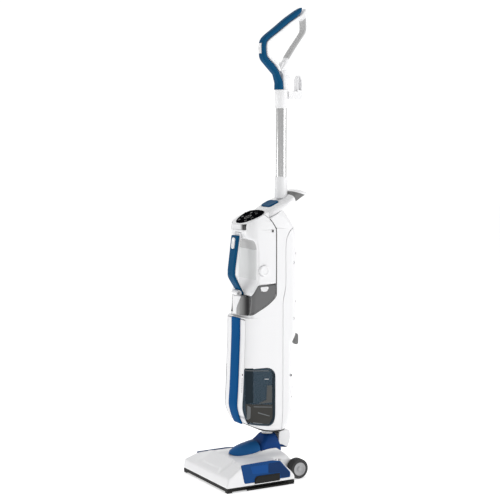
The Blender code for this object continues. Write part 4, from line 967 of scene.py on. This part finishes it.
def head_base():
    """The black base, its feet and the roller latch."""
    base = box("visual_head_base", (-0.1165, -0.1505, 0.0035), (0.1165, 0.0365, 0.0109))
    cut(base, box("mouth", (-0.1005, -0.1275, -0.01), (0.1005, -0.0785, 0.03)))
    for side in (-1, 1):
        low, high = span(side, 0.1005, 0.106)
        join(base, box("bearing_block", (low, -0.111, 0.008), (high, -0.095, 0.033)))
        for k in range(11):
            y = -0.096 + k * 0.0106
            low, high = span(side, 0.114, 0.2)
            cut(base, box("vent", (low, y, 0.0052), (high, y + 0.0078, 0.0088)))
    for side in (-1, 1):
        low, high = span(side, 0.1141, 0.1178)
        join(base, box("side_skirt", (low, -0.097, 0.0006), (high, 0.0205, 0.0046)))
    join(base, box("motor_cradle", (-0.095, -0.054, 0.008), (-0.025, -0.034, 0.018)))
    cut(base, disc("shaft_bore", "X", (0, ROLLER_Y, ROLLER_Z), 0.0033, -0.12, 0.12))
    cut(base, disc("cradle_round", "X", (0, -0.044, 0.03), 0.0168, -0.12, 0.0))
    for k in range(9):
        x = -0.088 + k * 0.022
        cut(base, box("groove", (x - 0.002, -0.06, 0.0), (x + 0.002, 0.026, 0.0047)))
    part(base, "black", "floor_head", bevel=0.0006)
    for node, y in (("foot_front", -0.15), ("foot_rear", 0.023)):
        for side, word in SIDES:
            low, high = span(side, 0.103, 0.116)
            foot = box(f"visual_{node}_{word}", (low, y, 0.0), (high, y + 0.013, 0.0032))
            for k in range(3):
                cut(foot, box("tread", (low - 0.01, y + 0.0022 + k * 0.0034, -0.001),
                    (high + 0.01, y + 0.0036 + k * 0.0034, 0.0008)))
            part(foot, "rubber", "floor_head", bevel=0.0005)
    latch = prism("visual_roller_latch", fillet(mm(((-76.5, 15), (-6, 15), (-6, 33.5), (-70, 33.5),
        (-76.5, 28))), 0.0016, 3), 0.1181, 0.1189)
    for k in range(2):
        join(latch, prism("pad", fillet(((-0.0745, 0.0165), (-0.008, 0.0165),
            (-0.008, 0.0318 - k * 0.002), (-0.069, 0.0318 - k * 0.002), (-0.0745, 0.027)), 0.0014, 3),
            0.1185, 0.1194 + k * 0.0006))
    part(latch, "black", "roller_latch", bevel=0.0002)


def roller():
    """The pile roller: a spiral of two densities round its core."""
    rings, count = [], 97
    for n in range(count):
        x = -0.098 + 0.196 * n / (count - 1)
        ring = []
        for k in range(48):
            angle = 2 * math.pi * k / 48
            twist = math.cos(3 * (angle - 9.0 * (x + 0.098)))
            radius = 0.0208 - 0.0011 * (0.5 - 0.5 * twist) ** 3
            ring.append((x, ROLLER_Y + radius * math.cos(angle), ROLLER_Z + radius * math.sin(angle)))
        rings.append(ring)
    ends = [[(x, y, z) for y, z in circle(0.003, 48, (ROLLER_Y, ROLLER_Z))]
        for x in (-0.113, -0.0982, 0.0982, 0.1075)]
    part(loft("visual_brush_roller", ends[:2] + rings + ends[2:]), "pile", "brush_roller", bevel=0)


def wheels():
    """Grooved tyres on dished hubs."""
    for side, word in SIDES:
        centre = (0, WHEEL_Y, WHEEL_R)
        x = [side * v for v in (WHEEL_IN, WHEEL_OUT)]
        rim = [(x[0], 0.0168), (x[1], 0.0168), (x[1], 0.0218), (x[1] - side * 0.0006, 0.0233),
            (x[1] - side * 0.0022, 0.0246), (x[1] - side * 0.0045, WHEEL_R)]
        for k in range(3):
            a = x[1] - side * (0.0075 + k * 0.005)
            rim += [(a, WHEEL_R), (a - side * 0.0003, 0.0242), (a - side * 0.0013, 0.0242),
                (a - side * 0.0016, WHEEL_R)]
        rim += [(x[0] + side * 0.0045, WHEEL_R), (x[0] + side * 0.0022, 0.0246),
            (x[0] + side * 0.0006, 0.0233), (x[0], 0.0218)]
        tyre = turned(f"visual_tyre_{word}", rim, "X", centre, 72)
        part(tyre, "tyre", f"wheel_{word}", bevel=0)
        hub = [(side * min(x, WHEEL_OUT), r) for x, r in mm(((61.5, 4.4), (80.5, 4.4), (80.5, 0.2),
            (85.2, 0.2), (85.6, 1.2), (85.4, 3.6), (84.5, 4.6), (83.5, 5.2), (82.2, 6), (82, 7.5),
            (83, 11), (84.6, 13.8), (86, 14.8), (86.8, 15.6), (86.8, 16.2), (86.2, 16.5), (61.5, 16.5)))]
        disk = turned(f"visual_wheel_hub_{word}", hub, "X", centre, 72)
        part(disk, "hub", f"wheel_{word}", bevel=0, sharp=45)


def neck():
    """Tilt drum, boot, collar, rear cover and the tongue in front of them."""
    drum = turned("visual_tilt_drum", ((-0.0362, 0.006), (-0.0305, 0.006), (-0.0305, DRUM_R),
        (0.0305, DRUM_R), (0.0305, 0.006), (0.0362, 0.006)), "X", (0, TILT_Y, TILT_Z), 56, False)
    join(drum, disc("riser", "Z", (0, SWIVEL_Y, 0), 0.0115, 0.065, 0.133))
    part(drum, "black", "neck", bevel=0.0006)
    stations = mm(((64, 31.2, -8.5, 53), (77, 31.2, -8.5, 50), (86, 30, -4, 47), (92, 27.2, 2.5, 46),
        (98.5, 23.6, 7, 44), (103, 19.8, 9.8, 42.8), (105, 16.5, 11, 42.5)))
    boot = loft("visual_neck_boot", [section(front, rear, half, 0.01, 0.01, 0.008, z, 8)
        for z, half, front, rear in curve_through(stations, 3)])
    cut(boot, disc("drum_room", "X", (0, TILT_Y, TILT_Z), DRUM_R + 0.0003, -0.0306, 0.0306))
    cut(boot, box("drum_drop", (-0.0306, TILT_Y - DRUM_R - 0.0003, 0.03),
        (0.0306, TILT_Y + DRUM_R + 0.0003, TILT_Z)))
    cut(boot, disc("riser_room", "Z", (0, SWIVEL_Y, 0), 0.0118, 0.06, 0.12))
    part(boot, "blue_head", "neck", bevel=0.0008)
    # a thin dark blue fin in the gap under the rear cover: painted shadow
    tail = fillet(mm(((40, 79), (48, 79), (56, 76.8), (69, 69), (56, 71.5), (40, 73))), 0.0008, 3)
    piece(prism("boot_tail", tail, -0.029, 0.029), "panel_dark", "neck", bevel=0.0006)
    collar = turned("visual_swivel_collar", mm(((105.5, 11.8), (105.5, 14.3), (106.4, 14.6),
        (107.6, 14.3), (108, 13.9), (108.5, 13.9), (108.9, 14.3), (113.5, 14.1), (114.7, 13.8),
        (115, 13.2), (115, 11.8)))[::-1], "Z", (0, SWIVEL_Y, 0), 64)
    part(collar, "white", "neck", bevel=0)
    outer = fillet(mm(((43, 70), (69, 69), (76, 80), (79, 93), (77, 113), (45.5, 113))), 0.006, 5)
    cover = prism("visual_neck_rear_cover", outer, -0.028, 0.028)
    cut(cover, prism("hollow", mm(((40, 60), (67, 60), (73.2, 81), (76.5, 93), (74.8, 108), (40, 108))),
        -0.0255, 0.0255))
    part(cover, "white", "neck", bevel=0.0022, segments=4, angle=50)
    tongue = tongue_blank("visual_neck_tongue")
    part(tongue, "tongue", "floor_head", bevel=0.0006, angle=60)


# ---------------------------------------------------------------- handle
LOOP_FRONT = mm((((44.5, 1001), (61, 1013)), ((26, 1019), (52, 1029)), ((9.3, 1037), (34, 1043)),
    ((6, 1052), (26.2, 1053)), ((6, 1076), (26.2, 1075)), ((15, 1093.4), (32, 1081)),
    ((47, 1118), (62, 1102.5)), ((78.5, 1142.1), (92, 1124.5)), ((121.5, 1170), (116.5, 1138.5))))
LOOP_REAR = mm((((131, 1165), (120.5, 1137)), ((137.2, 1148), (122.5, 1133)),
    ((138.5, 1130), (123.5, 1124)), ((137.5, 1108.5), (122.5, 1108)), ((124, 1087), (110, 1090)),
    ((102, 1056), (90, 1064)), ((79, 1023), (69, 1033))))
STEM_PAIRS = (((0.0505, 0.983), (0.08, 0.983)), ((0.05, 1.005), (0.079, 1.013)))
LOOP_HALF_W = 0.0115


def smooth_pairs(pairs):
    """More pairs of outer and inner points along the handle."""
    flat = [tuple(outer) + tuple(inner) for outer, inner in pairs]
    return [((a, b), (c, d)) for a, b, c, d in curve_through(flat, 5)]


def band(pairs, near, far, half_w):
    """Rounded sections between two shares of the way from the outer line to the inner one."""
    def flat(value):
        return math.copysign(abs(value) ** 0.55, value)
    angles = [2 * math.pi * k / 28 for k in range(28)]
    rings = []
    for outer, inner in pairs:
        ring = []
        for angle in angles:
            share = (near + far) / 2 - (far - near) / 2 * flat(math.sin(angle))
            spot = (o + (i - o) * share for o, i in zip(outer, inner))
            ring.append((-half_w * flat(math.cos(angle)), *spot))
        rings.append(ring)
    return rings


def loop_handle():
    """The white ring, its blue grip, the switch and a grey sheet of painted shade on the ring's rear leg.
    """
    front = smooth_pairs(LOOP_FRONT)
    rear = smooth_pairs(LOOP_REAR)
    ring = loft("visual_handle_loop", band(front, 0.62, 1.0, LOOP_HALF_W * 0.96)
        + band(rear, 0.0, 1.0, LOOP_HALF_W), closed=True)
    foot = (((0.0503, 0.9625), (0.0817, 0.9625)),)
    stem = loft("stem_back", band(smooth_pairs(foot + STEM_PAIRS), 0.5, 1.0, LOOP_HALF_W * 0.88))
    tie = prism("crotch", fillet(mm(((69, 995), (77, 995), (79, 1025), (66, 1033), (58, 1015))), 0.003),
        -LOOP_HALF_W * 0.8, LOOP_HALF_W * 0.8)
    collar = turned("neck", ((0.919, 0.015), (0.9196, 0.0157), (0.9642, 0.0157), (0.9642, 0.002),
        (0.9255, 0.002), (0.9255, TUBE_R + CLEAR), (0.919, TUBE_R + CLEAR))[::-1], "Z", (0, TUBE_Y, 0),
        64)
    join(collar, disc("core", "Z", (0, TUBE_Y, 0), 0.0025, 0.9256, 0.964, 16))
    join(ring, tie, stem, collar)
    # grey painted shade over the inner part of the ring's rear leg, where the white plastic lies in shade
    rear_shade = loft("loop_rear_sleeve", band(rear[4:-2], 0.42, 1.03, LOOP_HALF_W * 1.03))
    piece(rear_shade, "loop", "handle", bevel=0, sharp=50)
    part(ring, "white", "handle", bevel=0, sharp=55, weld=0.0002)
    foot = (((0.0503, 0.9645), (0.0817, 0.9645)), ((0.05, 0.9665), (0.0822, 0.9665)))
    lower = foot + STEM_PAIRS[:1]
    shares = band(smooth_pairs(lower), 0.0, 0.54, LOOP_HALF_W + 0.001)
    tip = [ring for k, (near, far) in enumerate(((0.0, 0.6), (0.0, 0.58), (0.02, 0.54), (0.08, 0.46)))
        for ring in band(front[len(front) - 4 + k:len(front) - 3 + k], near, far,
        LOOP_HALF_W * (1.0, 0.98, 0.9, 0.68)[k])]
    grip = loft("visual_loop_grip", shares[:-1] + band(front[:-4], 0.0, 0.6, LOOP_HALF_W) + tip)
    cut(grip, prism("switch_pocket", mm(((0, 1051.5), (11.5, 1051.5), (11.5, 1077.5), (0, 1077.5))),
        -0.0064, 0.0064))
    part(grip, "blue", "handle", bevel=0, sharp=50)
    switch = prism("visual_power_switch", fillet(mm(((4.2, 1052), (8.8, 1052), (8.8, 1077), (4.2, 1077))),
        0.0012, 3), -0.006, 0.006)
    cut(switch, disc("thumb_dip", "X", (0, -0.01, 1.0645), 0.015, -0.005, 0.005, 64))
    part(switch, "white", "power_switch", bevel=0.0005)
    cap = turned("stem_screw_cap", mm(((-10.5, 0.1), (-10.5, 5.8), (10.5, 5.8), (10.5, 0.1))), "X",
        (0, 0.079, 0.9955), 40, False)
    piece(cap, "white", "handle", bevel=0.0008)


def hooks():
    """The turning upper hook and the fixed lower one."""
    hook = box("visual_upper_cord_hook", (-0.009, 0.0823, 0.9414), (0.009, 0.1212, 0.9605))
    prong = prism("prong", fillet(mm(((107.6, 950), (121.1, 950), (121.1, 990), (114, 1001),
        (107.6, 990))), 0.003), -0.009, 0.009)
    join(hook, prong)
    for low, high in ((-0.02, -0.002), (0.002, 0.02)):
        cut(hook, prism("prong_pocket", fillet(mm(((109.8, 964), (119, 964), (119, 989), (114, 997.5),
            (109.8, 989))), 0.0015), low, high))
    part(hook, "white", "upper_cord_hook", bevel=0.0006)
    lower = prism("visual_lower_cord_hook", fillet(mm(((84.5, 372), (87, 371), (96.2, 360), (112, 351),
        (113.7, 347), (113.7, 328), (111, 324.3), (106.5, 324.5), (103, 329), (102, 342), (94, 348),
        (84.5, 354))), 0.001), -0.007, 0.007)
    part(lower, "grey", "main_body", bevel=0.0012, segments=3, angle=50)


# ---------------------------------------------------------------- seams and small details
STRIP_PROUD, STRIP_DEPTH = 0.00012, 0.0006


def skin_strip(name, proud, area):
    """What an area covers of the body's skin, as a thin strip a little proud of it."""
    strip = common(envelope(name, -proud), area)
    return cut(strip, envelope("core", STRIP_DEPTH))


def seal(name, line, width, body):
    """A joint strip that follows a side line on the body's skin, on both flanks."""
    pts = [Vector(p) for p in line]
    left, right = [], []
    for k, here in enumerate(pts):
        along = (pts[min(k + 1, len(pts) - 1)] - pts[max(k - 1, 0)]).normalized()
        out = Vector((-along.y, along.x)) * width / 2
        left.append(tuple(here + out))
        right.append(tuple(here - out))
    piece(skin_strip(name, STRIP_PROUD, region("ribbon", left + right[::-1])), "seam", body, bevel=0)


def seals():
    """The dark joints between the body's parts."""
    rise = [(y + 0.0008, z) for y, z in SEAM_LINE if z < 0.65]
    seal("seam_unit_rear", rise[:-1] + [(0.0203, 0.464)], 0.0021, "main_body")
    seal("seam_tank_rear",
        [(0.0203, 0.466), (0.02, 0.46)] + [(y + 0.0004, z - 0.001) for y, z in FLOOR_CURVE], 0.0019,
        "main_body")
    seal("seam_tank_top", [(0.019, 0.4866), (-0.029, 0.4866)], 0.002, "hand_unit")
    seal("seam_hood", [(-0.0118, 0.6608), (-0.002, 0.6535), (0.0012, 0.6506)], 0.0012, "hand_unit")


def side_details():
    """Screws and screw caps on the flanks."""
    for side, word in SIDES:
        low, high = span(side, 0.052, 0.056)
        screw = disc(f"visual_side_screw_{word}", "X", SIDE_SCREW, 0.0025, low, high, 28)
        piece(screw, "black", "hand_unit", bevel=0.0002)
        for k, (y, z) in enumerate(mm(((69.8, 539), (70, 399.6), (63.2, 257.5)))):
            half = 0.0551 if k < 2 else 0.0556
            low, high = span(side, half - 0.004, half + 0.0003)
            mark = turned(f"side_cap_{k}_{word}", ((low, 0.0022), (low, 0.0031), (high, 0.0031),
                (high, 0.0022)), "X", (0, y, z), 32)
            piece(mark, "hub", "main_body", bevel=0.0001)


WINDOW_DETAILS = (("band", "well", mm(((-64, 285), (-44.9, 284.2), (-44.9, 197.5), (-64.5, 198)))),
    ("base", "warm", mm(((-65.1, 197), (9.4, 189.1), (9.4, 155.7), (1.1, 139.5), (-20, 142.8),
    (-58, 150)))), ("rim", "well", mm(((5.6, 278), (15, 265), (15.5, 152), (9.5, 143), (2, 140),
    (9.4, 155.7), (9.2, 263.9)))), ("lip", "ledge", mm(((-64, 280.6), (-1.4, 275.4), (-1.4, 273.7),
    (-64, 278.9)))), ("mark", "hub", mm(((-13.2, 255.8), (-1.4, 254.7), (-1.4, 252.7), (-13.2, 253.8)))),
    ("leg", "float", mm(((-6.1, 238.5), (7.6, 237.1), (7.7, 194.5), (-20.2, 194.7), (-32, 195.9),
    (-8.4, 202.4)))), ("ledge", "ledge", mm(((-43.7, 189.8), (7.7, 183.6), (7.7, 181.8), (-43.7, 188)))),
    ("pillar", "ledge", mm(((-60, 193.3), (-51.6, 188.3), (-51.6, 160.4), (-56.5, 156.8), (-60, 157.7)))),
    ("slant", "ledge", mm(((-32, 174.4), (1.1, 161.9), (1.1, 160), (-32, 171.5)))),
    ("sump", "ledge", mm(((-43.7, 149.6), (-16.6, 144), (-20.2, 142.5), (-43.7, 147)))))


def window_details():
    """Walls, ledges and the float that show through the waste tank's window, drawn just under its gloss."""
    for side, word in SIDES:
        for layer, (name, material, outline) in enumerate(WINDOW_DETAILS):
            proud = STRIP_PROUD + (0.0001 if layer > 1 else 0.0)
            area_in_window = prism("area", outline, *span(side, 0.04, 0.2))
            strip = skin_strip(f"tank_{name}_{word}", proud, area_in_window)
            piece(strip, material, "waste_module", bevel=0)


def fascia_marks():
    """A level mark beside the bar: a dot with a graduated line under it."""
    def front(x, z, proud):
        return (x, FORMS[0](z) - proud, z)
    dot = [[front(x, z, proud) for x, z in circle(0.0021, 24, (0.0385, 0.2675))]
        for proud in (-0.0004, 0.0003)]
    piece(loft("level_dot", dot[::-1]), "black", "waste_module", bevel=0)
    for k in range(9):
        z = 0.26 - k * 0.0042
        bar = [[front(x, h, proud) for x, h in ((0.0366, z), (0.0396, z), (0.0396, z - 0.003),
            (0.0366, z - 0.003))] for proud in (-0.0004, 0.0003)]
        piece(loft(f"level_step_{k}", bar), "mid", "waste_module", bevel=0)


# ---------------------------------------------------------------- floor, light and camera
FLOOR_GLOW = 0.5
ROOM, BACKDROP = 0.5, 1.06


def stage():
    """A wide pale floor."""
    mesh = bpy.data.meshes.new("floor")
    mesh.from_pydata([(-9, -9, 0), (9, -9, 0), (9, 9, 0), (-9, 9, 0)], [], [(0, 1, 2, 3)])
    floor = bpy.data.objects.new("floor", mesh)
    bpy.context.scene.collection.objects.link(floor)
    material = plastic("floor_white", (0.93, 0.93, 0.93), 0.9, 0.02, tone=0.0, specular=0.0)
    shader = material.node_tree.nodes["Principled BSDF"]
    shader.inputs["Emission Color"].default_value = (1, 1, 1, 1)
    shader.inputs["Emission Strength"].default_value = FLOOR_GLOW
    floor.data.materials.append(material)


def area(name, place, target, size, power, colour=(1, 1, 1)):
    """A rectangular soft light aimed at a point."""
    lamp = bpy.data.lights.new(name, "AREA")
    lamp.shape, lamp.size, lamp.size_y = "RECTANGLE", size[0], size[1]
    lamp.energy, lamp.color = power, colour
    item = bpy.data.objects.new(name, lamp)
    item.location = place
    item.rotation_euler = (Vector(target) - Vector(place)).to_track_quat("-Z", "Y").to_euler()
    bpy.context.scene.collection.objects.link(item)


def light():
    """A pale room with a white backdrop, soft boxes right behind, low in front and overhead."""
    world = bpy.data.worlds.new("studio")
    world.use_nodes = True
    nodes, links = world.node_tree.nodes, world.node_tree.links
    place = new_node(world.node_tree, "TexCoord")["Generated"]
    towards = new_node(world.node_tree, "VectorMath", [(0, place)], [(1, (-0.871, 0.491, 0.0))],
        operation="DOT_PRODUCT")["Value"]
    ramp = new_node(world.node_tree, "MapRange", [("Value", towards)], [("From Min", 0.45),
        ("From Max", 0.85), ("To Min", ROOM), ("To Max", BACKDROP)], interpolation_type="SMOOTHSTEP")
    links.new(ramp[0], nodes["Background"].inputs[1])
    nodes["Background"].inputs[0].default_value = (1, 1, 1, 1)
    bpy.context.scene.world = world
    area("side", (2.2, 2.3, 1.3), (0, 0, 0.55), (1.6, 1.8), 34)
    area("front", (-1.1, -1.9, 0.35), (0, 0, 0.3), (0.8, 0.8), 9)
    area("top", (0.2, -0.3, 3.0), (0, 0, 0.5), (1.4, 1.4), 10)


def camera():
    """The camera solved from the photo."""
    data = bpy.data.cameras.new("camera")
    data.lens, data.sensor_width = 93.1, 36.0
    item = bpy.data.objects.new("camera", data)
    bpy.context.scene.collection.objects.link(item)
    item.location = (2.772, -1.585 + DATUM_Y, 0.865)
    azimuth, pitch = math.radians(60.6), math.radians(5.3)
    back = Vector((math.sin(azimuth) * math.cos(pitch), -math.cos(azimuth) * math.cos(pitch),
        math.sin(pitch)))
    item.rotation_mode = "QUATERNION"
    item.rotation_quaternion = (-back).to_track_quat("-Z", "Y")
    bpy.context.scene.camera = item


base_plate()
main_shell()
rear_cover()
waste_module()
deck()
stem_and_tube()
unit_shell()
carry_handle()
clean_tank()
nose()
unit_buttons()
seals()
side_details()
window_details()
fascia_marks()
head_cover()
side_panels()
head_base()
roller()
wheels()
neck()
loop_handle()
hooks()

stage()
light()
camera()
bpy.context.scene.view_settings.view_transform = "Standard"
